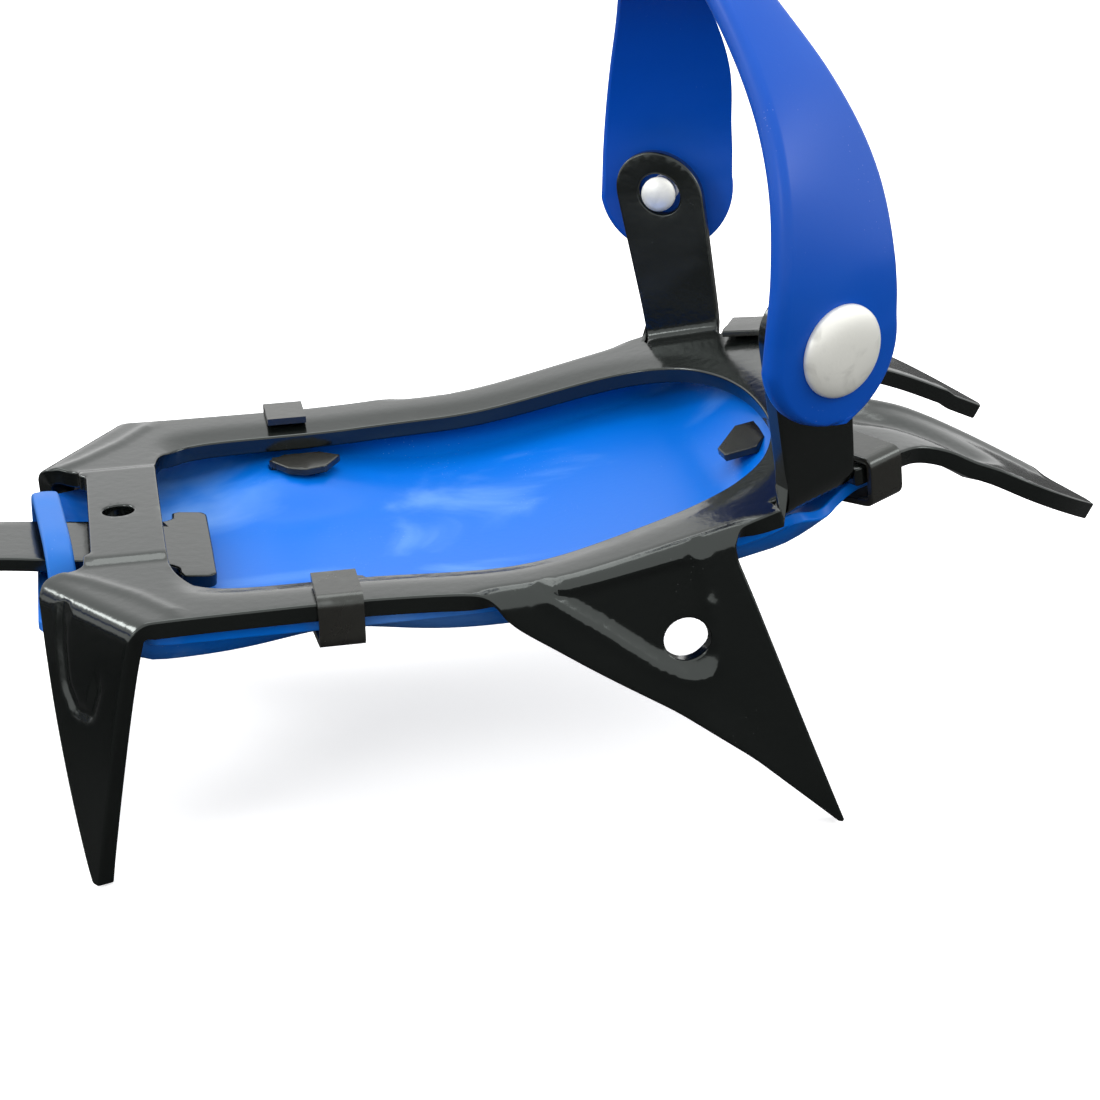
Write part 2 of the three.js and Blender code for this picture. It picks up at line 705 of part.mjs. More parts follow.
function heelTrayTop(x, y) {
  const across = Math.abs(y);
  const wall = heelTray.drop * (1 - smoothStep(across, 20, 31));
  const bow = heelTray.bow * Math.max(0, 1 - (across / 20) ** 2);
  return -tray.rim - wall - bow;
}

function heelTrayHalfWidth(x) {
  return heelTray.halfWidth - 8 * smoothStep(-x, 160, 176);
}

const heelTrayRows = steppedRows(heelTray.rearX, heelTray.frontX, 11);
const heelTrayShell = trayShell(heelTrayRows, heelTrayHalfWidth, heelTrayTop, heelTray.wall, 16);
addPart('heel_snow_tray', geometryToSolid(heelTrayShell), 'blueTray');

const heelClip = clipSolid({ legEnd: 5.5, legDrop: 0, withTip: false });
[['front', -118], ['rear', -142]].forEach(([place, x]) => {
  const solid = heelClip.translate([x, heel.halfWidth, 0]);
  addPair(`heel_left_${place}_clip`, `heel_right_${place}_clip`, solid, 'blackPaint');
});

// Heel harness.

// across is the direction of the band's width: level at the rivet, upright behind the heel.
const heelHarnessLine = [
  { x: -158, y: 42.4, z: 34, width: 25.2, across: new THREE.Vector3(1, 0, 0) },
  { x: -160, y: 43.2, z: 46, width: 23, across: new THREE.Vector3(1, 0, 0.15) },
  { x: -169, y: 43, z: 56.5, width: 20.5, across: new THREE.Vector3(0.72, 0, 0.7) },
  { x: -184, y: 37, z: 62, width: 19, across: new THREE.Vector3(0.1, 0, 1) },
  { x: -198, y: 20, z: 64.5, width: 18, across: new THREE.Vector3(0, 0, 1) },
  { x: -203.3, y: 0, z: 65, width: 18, across: new THREE.Vector3(0, 0, 1) },
];
const ear = { y: 43.1, slotX: -160, slotWidth: 6, slotLow: 55, slotHigh: 77 };
const buckleHinge = { x: -141.6, y: 44.4, low: 56, high: 76 };

function heelHarness() {
  const armPoint = heelRivet.clone().addScaledVector(heelPostOut, harness.standOff + harness.thickness / 2);
  const places = heelHarnessLine.map((row) => new THREE.Vector3(row.x, row.y, row.z));
  places[0].copy(armPoint);
  const rings = [
    ...roundEndRings(armPoint, heelPostUp, axisX, harness.endRadius, harness.thickness),
    ...bandRings(heelHarnessLine, places, heelPostUp, harness.thickness, 22),
  ];
  const arm = geometryToSolid(lofted(rings)).subtract(boreAt(armPoint, heelPostOut, rivet.shankRadius + gap));
  const earOutline = polygon([
    [-170, 46], [-151, 50], [-147.5, 54], [-147.5, 78], [-150.5, 81.5], [-165, 81.5], [-169, 78], [-178, 64],
  ]);
  const earPlate = extruded(earOutline, [], harness.thickness);
  earPlate.translate(0, 0, -harness.thickness / 2);
  const earSolid = geometryToSolid(placed(earPlate, new THREE.Vector3(0, ear.y, 0), axisX, axisZ, axisY));
  const slotHeight = ear.slotHigh - ear.slotLow;
  const slotX = ear.slotX + ear.slotWidth / 2;
  const slotZ = ear.slotLow + slotHeight / 2;
  const slot = box(ear.slotWidth, 14, slotHeight, slotX, ear.y, slotZ);
  const half = arm.add(earSolid).subtract(slot);
  const lugs = [buckleHinge.low - 2.2, buckleHinge.high + 2.2].map((z) => {
    const block = box(9, 4, 4, -145.2, ear.y, z);
    const knuckle = geometryToSolid(disc(3.2, 4, 16).translate(buckleHinge.x, buckleHinge.y, z));
    return block.add(knuckle);
  });
  const pinBore = geometryToSolid(disc(1.9, 60, 16).translate(buckleHinge.x, buckleHinge.y, 66));
  return joinAll([half, mirrored(half), ...lugs]).subtract(pinBore);
}

addPart('heel_harness', heelHarness(), 'bluePlastic');
addPair('heel_rivet_left', 'heel_rivet_right', rivetAt(heelRivet, heelPostOut, armFar), 'rivetSteel');

// Strap buckle.

function bucklePin() {
  const low = buckleHinge.low - 4.6;
  const high = buckleHinge.high + 4.6;
  const cap = 1.2;
  const profile = [
    [0, low - cap], [2.6, low - cap], [2.6, low], [1.6, low],
    [1.6, high], [2.6, high], [2.6, high + cap], [0, high + cap],
  ];
  const lathe = new THREE.LatheGeometry(polygon(profile), 16).rotateX(Math.PI / 2);
  return geometryToSolid(lathe.translate(buckleHinge.x, buckleHinge.y, 0));
}

function strapBuckle() {
  const low = buckleHinge.low + gap;
  const high = buckleHinge.high - gap;
  const barrelShape = disc(2.9, high - low, 16);
  const barrel = geometryToSolid(barrelShape.translate(buckleHinge.x, buckleHinge.y, (low + high) / 2));
  const outline = polygon([[-141, 56.3], [-121, 54], [-118, 56], [-118, 76], [-121, 78], [-141, 75.7]]);
  const window = (rear, front, end) => polygon([
    [rear, low + end], [front, low + end], [front, high - end], [rear, high - end],
  ]);
  const plate = extruded(outline, [window(-136.5, -131, 2.2), window(-127.5, -121.8, 1.8)], 2.4);
  plate.translate(0, 0, -1.2);
  const frame = geometryToSolid(placed(plate, new THREE.Vector3(0, buckleHinge.y, 0), axisX, axisZ, axisY));
  const bore = geometryToSolid(disc(1.9, 60, 16).translate(buckleHinge.x, buckleHinge.y, 66));
  return barrel.add(frame).subtract(bore);
}

addPart('buckle_pin', bucklePin(), 'zincSteel');
addPart('strap_buckle', strapBuckle(), 'zincSteel');

// Length clamp.

function clampScrew() {
  const profile = [
    [0, clamp.screwEnd], [2.3, clamp.screwEnd], [clamp.screwRadius, clamp.screwEnd + 0.5],
    [clamp.screwRadius, gap],
    [clamp.headRadius, gap], [clamp.headRadius, 1.2], [4.6, 2.2], [0, 2.6],
  ];
  const lathe = geometryToSolid(new THREE.LatheGeometry(polygon(profile), 20).rotateX(Math.PI / 2));
  return lathe.subtract(box(9, 1.2, 2, 0, 0, 3)).translate([clamp.x, 0, 0]);
}

function clampWasher() {
  const ring = geometryToSolid(disc(clamp.washerRadius, 1.1, 24));
  const bore = geometryToSolid(disc(clamp.screwRadius + gap, 4, 20));
  return ring.subtract(bore).translate([clamp.x, 0, -6.6]);
}

function wingNut() {
  const { nutLow, nutHigh } = clamp;
  const hub = geometryToSolid(disc(5.4, nutHigh - nutLow, 18).translate(0, 0, (nutHigh + nutLow) / 2));
  const wing = polygon([
    [4, nutHigh - 1], [7.5, nutHigh - 0.6], [12.5, nutLow + 1.2], [12, nutLow - 1],
    [9.5, nutLow - 1.5], [4, nutLow + 2],
  ]);
  const wingPlate = extruded(wing, [], 2.4).translate(0, 0, -1.2);
  const wingSolid = geometryToSolid(placed(wingPlate, new THREE.Vector3(), axisX, axisZ, axisY));
  const bore = geometryToSolid(disc(clamp.screwRadius + gap, 30, 20).translate(0, 0, -12));
  const nut = joinAll([hub, wingSolid, wingSolid.rotate([0, 0, 180])]).subtract(bore);
  return nut.rotate([0, 0, 90]).translate([clamp.x, 0, 0]);
}

addPart('clamp_screw', clampScrew(), 'zincSteel');
addPart('clamp_washer', clampWasher(), 'zincSteel');
addPart('clamp_wing_nut', wingNut(), 'zincSteel');

crampon.position.set(-middleX, 0, groundDepth);

export default crampon;
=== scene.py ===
import json
import math
import bpy
import bmesh
import numpy as np
from mathutils import Matrix, Vector
from mathutils.geometry import delaunay_2d_cdt


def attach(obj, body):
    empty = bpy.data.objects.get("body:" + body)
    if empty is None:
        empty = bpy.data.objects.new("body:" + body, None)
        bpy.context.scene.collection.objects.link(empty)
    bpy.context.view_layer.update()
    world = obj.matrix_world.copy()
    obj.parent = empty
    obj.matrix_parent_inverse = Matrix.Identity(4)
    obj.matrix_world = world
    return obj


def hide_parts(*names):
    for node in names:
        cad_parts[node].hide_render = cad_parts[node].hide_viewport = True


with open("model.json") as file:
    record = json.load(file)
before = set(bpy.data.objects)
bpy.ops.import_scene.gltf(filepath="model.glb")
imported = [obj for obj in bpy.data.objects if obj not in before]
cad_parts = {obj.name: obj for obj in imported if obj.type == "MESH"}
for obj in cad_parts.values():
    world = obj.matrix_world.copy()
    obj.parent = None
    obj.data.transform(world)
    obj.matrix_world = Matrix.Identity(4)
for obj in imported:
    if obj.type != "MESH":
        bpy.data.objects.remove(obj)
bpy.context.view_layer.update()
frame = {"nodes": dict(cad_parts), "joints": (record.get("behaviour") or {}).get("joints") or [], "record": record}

mm = 0.001

# Pieces are drawn in millimetres from the small hole in the front crossbar, +x to the toe, +y left.
solePanel = {m["name"]: m for m in frame["record"]["mounts"]}["front_sole_rest"]["pos_m"]
barJoint = {j["name"]: j for j in frame["joints"]}["link_bar_rock"]["pos_m"]
panelRise = 0.7
drawOrigin = Vector((barJoint[0] / mm, 0.0, solePanel[2] / mm - panelRise))
tipRise = 0.55
groundDepth = drawOrigin.z - tipRise


def toFrame(point):
    return (Vector(point) + drawOrigin) * mm


# Camera, for a low view across the near rail. Angles in degrees, shift in millimetres.
cameraView = {
    "turn": 10.743, "tilt": 22.489, "roll": -1.457, "shift": (-71.88, 6.02, 401.17),
    "lens": 78.81, "sensor": 36, "near": 0.01, "far": 20,
}


def addCamera(view):
    turn, tilt, roll = (math.radians(view[k]) for k in ("turn", "tilt", "roll"))
    forward = Vector((math.sin(turn) * math.cos(tilt), math.cos(turn) * math.cos(tilt), -math.sin(tilt)))
    right = Vector((math.cos(turn), -math.sin(turn), 0))
    up = right.cross(forward)
    rolled = right * math.cos(roll) + up * math.sin(roll)
    up = up * math.cos(roll) - right * math.sin(roll)
    right = rolled
    x, y, z = view["shift"]
    eye = -(right * x + up * y + forward * z)
    data = bpy.data.cameras.new("productCamera")
    data.lens = view["lens"]
    data.sensor_width = view["sensor"]
    data.clip_start = view["near"]
    data.clip_end = view["far"]
    camera = bpy.data.objects.new("productCamera", data)
    turned = Matrix((right, up, -forward)).transposed().to_4x4()
    camera.matrix_world = Matrix.Translation(toFrame(eye)) @ turned
    bpy.context.scene.collection.objects.link(camera)
    bpy.context.scene.camera = camera


addCamera(cameraView)
print("camera placed")


# Shader node groups that several materials share.

def newGroup(name, inputs, outputs):
    group = bpy.data.node_groups.new(name, "ShaderNodeTree")
    for label, kind, value in inputs:
        socket = group.interface.new_socket(label, in_out="INPUT", socket_type=kind)
        if value is not None:
            socket.default_value = value
    for label, kind in outputs:
        group.interface.new_socket(label, in_out="OUTPUT", socket_type=kind)
    start = group.nodes.new("NodeGroupInput")
    end = group.nodes.new("NodeGroupOutput")
    return group, start, end


def addNode(tree, kind, **values):
    node = tree.nodes.new(kind)
    for key, value in values.items():
        setattr(node, key, value)
    return node


def ramp(tree, source, low, high):
    node = addNode(tree, "ShaderNodeMapRange", interpolation_type="SMOOTHSTEP")
    tree.links.new(source, node.inputs["Value"])
    node.inputs["From Min"].default_value = low
    node.inputs["From Max"].default_value = high
    return node.outputs["Result"]


def feed(tree, socket, value):
    if isinstance(value, (int, float)):
        socket.default_value = value
    else:
        tree.links.new(value, socket)


def maths(tree, operation, *values):
    node = addNode(tree, "ShaderNodeMath", operation=operation)
    for socket, value in zip(node.inputs, values):
        feed(tree, socket, value)
    return node.outputs[0]


def noiseAt(tree, place, scale, detail, roughness=0.5, distortion=0.0):
    noise = addNode(tree, "ShaderNodeTexNoise")
    noise.inputs["Detail"].default_value = detail
    noise.inputs["Roughness"].default_value = roughness
    noise.inputs["Distortion"].default_value = distortion
    tree.links.new(place, noise.inputs["Vector"])
    feed(tree, noise.inputs["Scale"], scale)
    return noise.outputs["Fac"]


def objectPlace(tree):
    return addNode(tree, "ShaderNodeTexCoord").outputs["Object"]


def stretchedPlace(tree, stretch):
    stretched = addNode(tree, "ShaderNodeVectorMath", operation="MULTIPLY")
    tree.links.new(objectPlace(tree), stretched.inputs[0])
    tree.links.new(stretch, stretched.inputs[1])
    return stretched.outputs[0]


def sendMask(group, start, end, mask):
    group.links.new(maths(group, "MULTIPLY", mask, start.outputs["Amount"]), end.inputs["Mask"])


def makeEdgeWear():
    group, start, end = newGroup(
        "edgeWear", [("Amount", "NodeSocketFloat", 0.5), ("Breakup", "NodeSocketFloat", 260.0)],
        [("Mask", "NodeSocketFloat")])
    pointed = addNode(group, "ShaderNodeNewGeometry").outputs["Pointiness"]
    edge = ramp(group, pointed, 0.54, 0.64)
    noise = noiseAt(group, objectPlace(group), start.outputs["Breakup"], 5)
    broken = ramp(group, noise, 0.5, 0.66)
    sendMask(group, start, end, maths(group, "MULTIPLY", edge, broken))
    return group


def makeDust():
    group, start, end = newGroup(
        "dustSpecks", [("Amount", "NodeSocketFloat", 0.5), ("Scale", "NodeSocketFloat", 900.0)],
        [("Mask", "NodeSocketFloat")])
    place = objectPlace(group)
    cells = addNode(group, "ShaderNodeTexVoronoi")
    group.links.new(place, cells.inputs["Vector"])
    group.links.new(start.outputs["Scale"], cells.inputs["Scale"])
    speck = maths(group, "SUBTRACT", 1.0, ramp(group, cells.outputs["Distance"], 0.05, 0.16))
    patches = ramp(group, noiseAt(group, place, 70.0, 3, 0.55), 0.52, 0.68)
    sendMask(group, start, end, maths(group, "MULTIPLY", speck, patches))
    return group


# A noise mask. On paint it varies only the roughness, on steel it makes random mottle, and on the blue plastics it
# paints lighter sheen patches and also raises the roughness.
def makeSmudgesAndSheen():
    group, start, end = newGroup(
        "smudgesAndSheen", [("Amount", "NodeSocketFloat", 0.5), ("Scale", "NodeSocketFloat", 40.0),
                    ("Stretch", "NodeSocketVector", (1.0, 1.0, 1.0))],
        [("Mask", "NodeSocketFloat")])
    place = stretchedPlace(group, start.outputs["Stretch"])
    noise = noiseAt(group, place, start.outputs["Scale"], 6, distortion=0.9)
    sendMask(group, start, end, ramp(group, noise, 0.48, 0.72))
    return group


def makeGrain():
    group, start, end = newGroup(
        "fineGrain", [("Scale", "NodeSocketFloat", 1400.0), ("Stretch", "NodeSocketVector", (1.0, 1.0, 1.0))],
        [("Height", "NodeSocketFloat")])
    place = stretchedPlace(group, start.outputs["Stretch"])
    group.links.new(noiseAt(group, place, start.outputs["Scale"], 3), end.inputs["Height"])
    return group


edgeWear = makeEdgeWear()
dustSpecks = makeDust()
smudgesAndSheen = makeSmudgesAndSheen()
fineGrain = makeGrain()


def useGroup(tree, group, **values):
    node = addNode(tree, "ShaderNodeGroup", node_tree=group)
    for label, value in values.items():
        node.inputs[label].default_value = value
    return node.outputs[0]


def mixColour(tree, mask, under, over):
    node = addNode(tree, "ShaderNodeMix", data_type="RGBA")
    tree.links.new(mask, node.inputs[0])
    for socket, value in ((node.inputs[6], under), (node.inputs[7], over)):
        if isinstance(value, tuple):
            socket.default_value = (*value, 1.0)
        else:
            tree.links.new(value, socket)
    return node.outputs[2]


def newMaterial(name):
    material = bpy.data.materials.new(name)
    material.use_nodes = True
    shader = material.node_tree.nodes["Principled BSDF"]
    return material, material.node_tree, shader


def addBump(tree, shader, look):
    bump = addNode(tree, "ShaderNodeBump")
    bump.inputs["Distance"].default_value = look["grainDepth"]
    bump.inputs["Strength"].default_value = look["grainStrength"]
    grain = useGroup(tree, fineGrain, Scale=look["grainScale"])
    tree.links.new(grain, bump.inputs["Height"])
    tree.links.new(bump.outputs["Normal"], shader.inputs["Normal"])


blackPaint = {
    "colour": (0.003, 0.0038, 0.0035), "bareSteel": (0.20, 0.21, 0.205), "dustColour": (0.16, 0.17, 0.165),
    "wear": 0.35, "wearBreakup": 240.0, "dust": 0.14, "dustScale": 1000.0, "dustRough": 0.4,
    "rough": 0.15, "hazeAndSheenScale": 45.0, "hazeRough": 0.1, "gloss": 0.64, "tint": (0.92, 1.0, 0.96, 1.0),
    "grainScale": 620.0, "grainDepth": 0.0002, "grainStrength": 0.16,
}


def makePaint(name, look):
    material, tree, shader = newMaterial(name)
    wear = useGroup(tree, edgeWear, Amount=look["wear"], Breakup=look["wearBreakup"])
    dust = useGroup(tree, dustSpecks, Amount=look["dust"], Scale=look["dustScale"])
    hazeAndSheen = useGroup(tree, smudgesAndSheen, Amount=1.0, Scale=look["hazeAndSheenScale"])
    worn = mixColour(tree, wear, look["colour"], look["bareSteel"])
    tree.links.new(mixColour(tree, dust, worn, look["dustColour"]), shader.inputs["Base Color"])
    rough = maths(tree, "MULTIPLY_ADD", hazeAndSheen, look["hazeRough"], look["rough"])
    dusty = maths(tree, "MULTIPLY", dust, look["dustRough"])
    tree.links.new(maths(tree, "ADD", rough, dusty), shader.inputs["Roughness"])
    tree.links.new(wear, shader.inputs["Metallic"])
    shader.inputs["Specular IOR Level"].default_value = look["gloss"]
    shader.inputs["Specular Tint"].default_value = look["tint"]
    addBump(tree, shader, look)
    return material


clipPaintLook = {**blackPaint, "colour": (0.014, 0.013, 0.011), "rough": 0.26, "wear": 0.4}
# Blue plastics: the paler colour, mixed in by the noise mask, paints lighter sheen patches onto the blue, most
# strongly on the tray.
bluePlastic = {
    "hazeAndSheenScale": 32.0, "hazeAndSheenStretch": (0.7, 1.2, 1.0), "hazeRough": 0.3,
    "dust": 0.25, "dustScale": 1200.0, "dustColour": (0.5, 0.6, 0.8),
    "glow": 0.06, "glowRadius": (0.0004, 0.0008, 0.003),
    "grainScale": 900.0, "grainDepth": 0.0001, "grainStrength": 0.12,
}
harnessPlastic = {
    **bluePlastic, "colour": (0.0, 0.07, 0.43), "paintedSheenColour": (0.004, 0.09, 0.49),
    "rough": 0.36, "hazeAndSheen": 0.3, "gloss": 0.25,
}
trayPlastic = {
    **bluePlastic, "colour": (0.0, 0.135, 0.60), "paintedSheenColour": (0.17, 0.36, 0.74),
    "rough": 0.30, "hazeAndSheen": 0.6, "gloss": 0.14,
}
loopPlastic = {
    **bluePlastic, "colour": (0.01, 0.13, 0.48), "paintedSheenColour": (0.03, 0.18, 0.56),
    "rough": 0.40, "hazeAndSheen": 0.3, "gloss": 0.2,
}


def makePlastic(name, look):
    material, tree, shader = newMaterial(name)
    hazeAndSheen = useGroup(tree, smudgesAndSheen, Amount=look["hazeAndSheen"], Scale=look["hazeAndSheenScale"], Stretch=look["hazeAndSheenStretch"])
    dust = useGroup(tree, dustSpecks, Amount=look["dust"], Scale=look["dustScale"])
    # Painted sheen: lighter patches of the paler blue where the mask is high.
    sheenPaintedColour = mixColour(tree, hazeAndSheen, look["colour"], look["paintedSheenColour"])
    tree.links.new(mixColour(tree, dust, sheenPaintedColour, look["dustColour"]), shader.inputs["Base Color"])
    rough = maths(tree, "MULTIPLY_ADD", hazeAndSheen, look["hazeRough"], look["rough"])
    tree.links.new(rough, shader.inputs["Roughness"])
    shader.inputs["Specular IOR Level"].default_value = look["gloss"]
    shader.inputs["Subsurface Weight"].default_value = look["glow"]
    shader.inputs["Subsurface Radius"].default_value = look["glowRadius"]
    addBump(tree, shader, look)
    return material


bareSteel = {
    "mottle": 0.8, "mottleScale": 190.0, "mottleRough": 0.22,
    "grainScale": 1500.0, "grainDepth": 0.00012, "grainStrength": 0.25,
}
rivetLook = {
    **bareSteel, "colour": (0.86, 0.86, 0.80), "dark": (0.62, 0.62, 0.57), "rough": 0.40, "metal": 0.3,
}
zincLook = {
    **bareSteel, "colour": (0.52, 0.53, 0.53), "dark": (0.42, 0.43, 0.43), "rough": 0.34, "metal": 0.85,
}


def makeSteel(name, look):
    material, tree, shader = newMaterial(name)
    mottle = useGroup(tree, smudgesAndSheen, Amount=look["mottle"], Scale=look["mottleScale"])
    tree.links.new(mixColour(tree, mottle, look["colour"], look["dark"]), shader.inputs["Base Color"])
    rough = maths(tree, "MULTIPLY_ADD", mottle, look["mottleRough"], look["rough"])
    tree.links.new(rough, shader.inputs["Roughness"])
    shader.inputs["Metallic"].default_value = look["metal"]
    addBump(tree, shader, look)
    return material


paint = makePaint("blackPaint", blackPaint)
clipPaint = makePaint("clipPaint", clipPaintLook)
harnessBlue = makePlastic("harnessBlue", harnessPlastic)
trayBlue = makePlastic("trayBlue", trayPlastic)
loopBlue = makePlastic("loopBlue", loopPlastic)
rivetSteel = makeSteel("rivetSteel", rivetLook)
zincSteel = makeSteel("zincSteel", zincLook)
print("materials made")


# General shape helpers.

def smoothStep(value, low, high):
    t = min(max((value - low) / (high - low), 0.0), 1.0)
    return t * t * (3 - 2 * t)


# Rounds each corner of a closed outline; a third number on a point is its own reach.
def softOutline(points, reach=5.0, steps=5):
    made = []
    count = len(points)
    for i, point in enumerate(points):
        here = Vector(point[:2])
        before = Vector(points[i - 1][:2])
        after = Vector(points[(i + 1) % count][:2])
        cut = point[2] if len(point) > 2 else reach
        start = here + (before - here).normalized() * min(cut, (before - here).length * 0.48)
        end = here + (after - here).normalized() * min(cut, (after - here).length * 0.48)
        for k in range(steps + 1):
            t = k / steps
            made.append(start * (1 - t) ** 2 + here * 2 * t * (1 - t) + end * t * t)
    return made


# Even points along a closed outline, without points that nearly touch.
def evenOutline(points, spacing, tiny=0.12, close=0.45, slightTurn=0.14):
    made = []
    for i, here in enumerate(points):
        after = points[(i + 1) % len(points)]
        length = (after - here).length
        if length < spacing * tiny:
            continue
        if made and (here - made[-1]).length < spacing * close:
            turn = (here - made[-1]).angle(after - here)
            if turn < slightTurn:
                continue
        pieces = max(1, math.ceil(length / spacing))
        made.extend(here.lerp(after, k / pieces) for k in range(pieces))
    return np.array([tuple(p) for p in made])


def nearest(points, line, closed=False):
    line = np.array(line, float)[:, :2]
    ends = np.roll(line, -1, axis=0) if closed else line[1:]
    starts = line if closed else line[:-1]
    best = np.full(len(points), 1e9)
    for a, b in zip(starts, ends):
        run = b - a
        t = np.clip(((points - a) @ run) / max(run @ run, 1e-9), 0, 1)
        best = np.minimum(best, np.linalg.norm(points - a - t[:, None] * run, axis=1))
    return best


def inside(points, outline):
    x, y = points[:, 0], points[:, 1]
    hit = np.zeros(len(points), bool)
    for (ax, ay), (bx, by) in zip(outline, np.roll(outline, -1, axis=0)):
        if ay != by:
            crosses = (ay > y) != (by > y)
            hit ^= crosses & (x < (bx - ax) * (y - ay) / (by - ay) + ax)
    return hit


# Which way is out of the sheet at each point of a loop, times how wide its rounded rim may be.
def rimReach(loops, radius, slightTurn=0.05, cornerShare=0.275, gapShare=0.38, least=0.06):
    outs, limits = [], []
    for i, loop in enumerate(loops):
        before = np.roll(loop, 1, axis=0)
        after = np.roll(loop, -1, axis=0)
        run = after - before
        width = np.linalg.norm(run, axis=1)
        area = np.sum(loop[:, 0] * after[:, 1] - loop[:, 1] * after[:, 0])
        sign = math.copysign(1, area) * (1 if i == 0 else -1)
        outs.append(np.stack([run[:, 1], -run[:, 0]], 1) / width[:, None] * sign)
        into, away = loop - before, after - loop
        cross = (into[:, 0] * away[:, 1] - into[:, 1] * away[:, 0]) * sign
        turn = np.arctan2(cross, (into * away).sum(1))
        limit = cornerShare * width / np.maximum(turn, slightTurn)
        limits.append(np.where(turn > slightTurn, limit, radius))
    places, out = np.concatenate(loops), np.concatenate(outs)
    apart = places[None] - places[:, None]
    distance = np.linalg.norm(apart, axis=2)
    opposite = ((out @ out.T) < -0.3) & ((apart * out[:, None]).sum(2) < 0)
    clear = np.where(opposite, distance, np.inf).min(1) * gapShare
    start = 0
    reaches = []
    for limit in limits:
        one = np.minimum(np.minimum(limit, clear[start:start + len(limit)]), radius)
        one = np.min([np.roll(one, k) for k in (-2, -1, 0, 1, 2)], axis=0)
        one = np.mean([np.roll(one, k) for k in (-2, -1, 0, 1, 2)], axis=0)
        reaches.append(np.maximum(one, least))
        start += len(limit)
    return out * np.concatenate(reaches)[:, None]


# Rows of points beside each line, so that a pressed border is meshed evenly.
def guideRows(lines, gap=0.6, rows=4, step=0.8, slack=0.08, cell=0.45):
    made = {}
    for line in lines:
        pieces = []
        for one, two in zip(line, line[1:]):
            count = max(1, round(math.dist(one, two) / step))
            pieces.extend(one + (two - one) * k / count for k in range(count))
        dense = np.array([*pieces, line[-1]])
        run = np.gradient(dense, axis=0)
        across = np.stack([-run[:, 1], run[:, 0]], 1) / np.linalg.norm(run, axis=1)[:, None]
        for k in sorted(range(-rows, rows + 1), key=abs):
            row = dense + across * gap * k
            row = row[nearest(row, line) > abs(k) * gap - slack]
            for spot in row:
                made.setdefault((round(spot[0] / cell), round(spot[1] / cell)), spot)
    return np.array(list(made.values()))


# Fills a flat outline with small triangles, finer where finer(points) is true and along guide lines.
def fillFlat(outline, holes, look, finer=None, guides=()):
    spacing = look["spacing"]
    loops = [evenOutline(o, spacing * 0.7) for o in [outline, *holes]]
    rims = rimReach(loops, look["bevel"])
    places = np.concatenate(loops) - rims
    edges = []
    start = 0
    for i, loop in enumerate(loops):
        count = len(loop)
        edges.extend((start + k, start + (k + 1) % count) for k in range(count))
        loops[i] = places[start:start + count]
        start += count
    low, high = loops[0].min(0), loops[0].max(0)
    grids = []
    if len(guides):
        grids.append((guideRows(guides), 0.6))
    for step, wanted in ((spacing, None), (spacing * 0.5, finer)):
        if wanted is None and step != spacing:
            continue
        across = np.arange(low[0], high[0], step)
        up = np.arange(low[1], high[1], step * 0.87)
        gx, gy = np.meshgrid(across, up)
        gx = gx + (np.arange(len(up)) % 2)[:, None] * step * 0.5
        grid = np.stack([gx.ravel(), gy.ravel()], 1)
        if finer is not None:
            keep = finer(grid)
            grid = grid[keep] if wanted is not None else grid[~keep]
        for line in guides:
            grid = grid[nearest(grid, line) > 2.4 + step * 0.4]
        grids.append((grid, step))
    added = []
    for grid, step in grids:
        good = inside(grid, loops[0])
        for loop in loops[1:]:
            good &= ~inside(grid, loop)
        grid = grid[good]
        for loop in loops:
            grid = grid[nearest(grid, loop, True) > step * 0.55]
        added.append(grid)
    places = np.concatenate([places, *added])
    result = delaunay_2d_cdt([Vector(p) for p in places], edges, [], 0, 1e-5)
    flat = np.array([tuple(v) for v in result[0]])
    faces = np.array(result[2])
    middle = flat[faces].mean(1)
    good = inside(middle, loops[0])
    for loop in loops[1:]:
        good &= ~inside(middle, loop)
    origin = [first[0] if first else 0 for first in result[3]]
    rim = np.array([rims[k] if k < len(rims) else (0.0, 0.0) for k in origin])
    return flat, faces[good], rim


def finishMesh(name, bm, material, body, replaced=(), bevel=0):
    bmesh.ops.recalc_face_normals(bm, faces=bm.faces)
    mesh = bpy.data.meshes.new(name)
    bm.to_mesh(mesh)
    bm.free()
    mesh.polygons.foreach_set("use_smooth", [True] * len(mesh.polygons))
    mesh.materials.append(material)
    piece = bpy.data.objects.new(name, mesh)
    bpy.context.scene.collection.objects.link(piece)
    if bevel:
        rounding = piece.modifiers.new("edges", "BEVEL")
        rounding.width = bevel * mm
        rounding.segments = 2
        rounding.limit_method = "ANGLE"
        rounding.angle_limit = math.radians(50)
    shading = piece.modifiers.new("shading", "WEIGHTED_NORMAL")
    shading.keep_sharp = True
    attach(piece, body)
    if replaced:
        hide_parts(*replaced)
    return piece


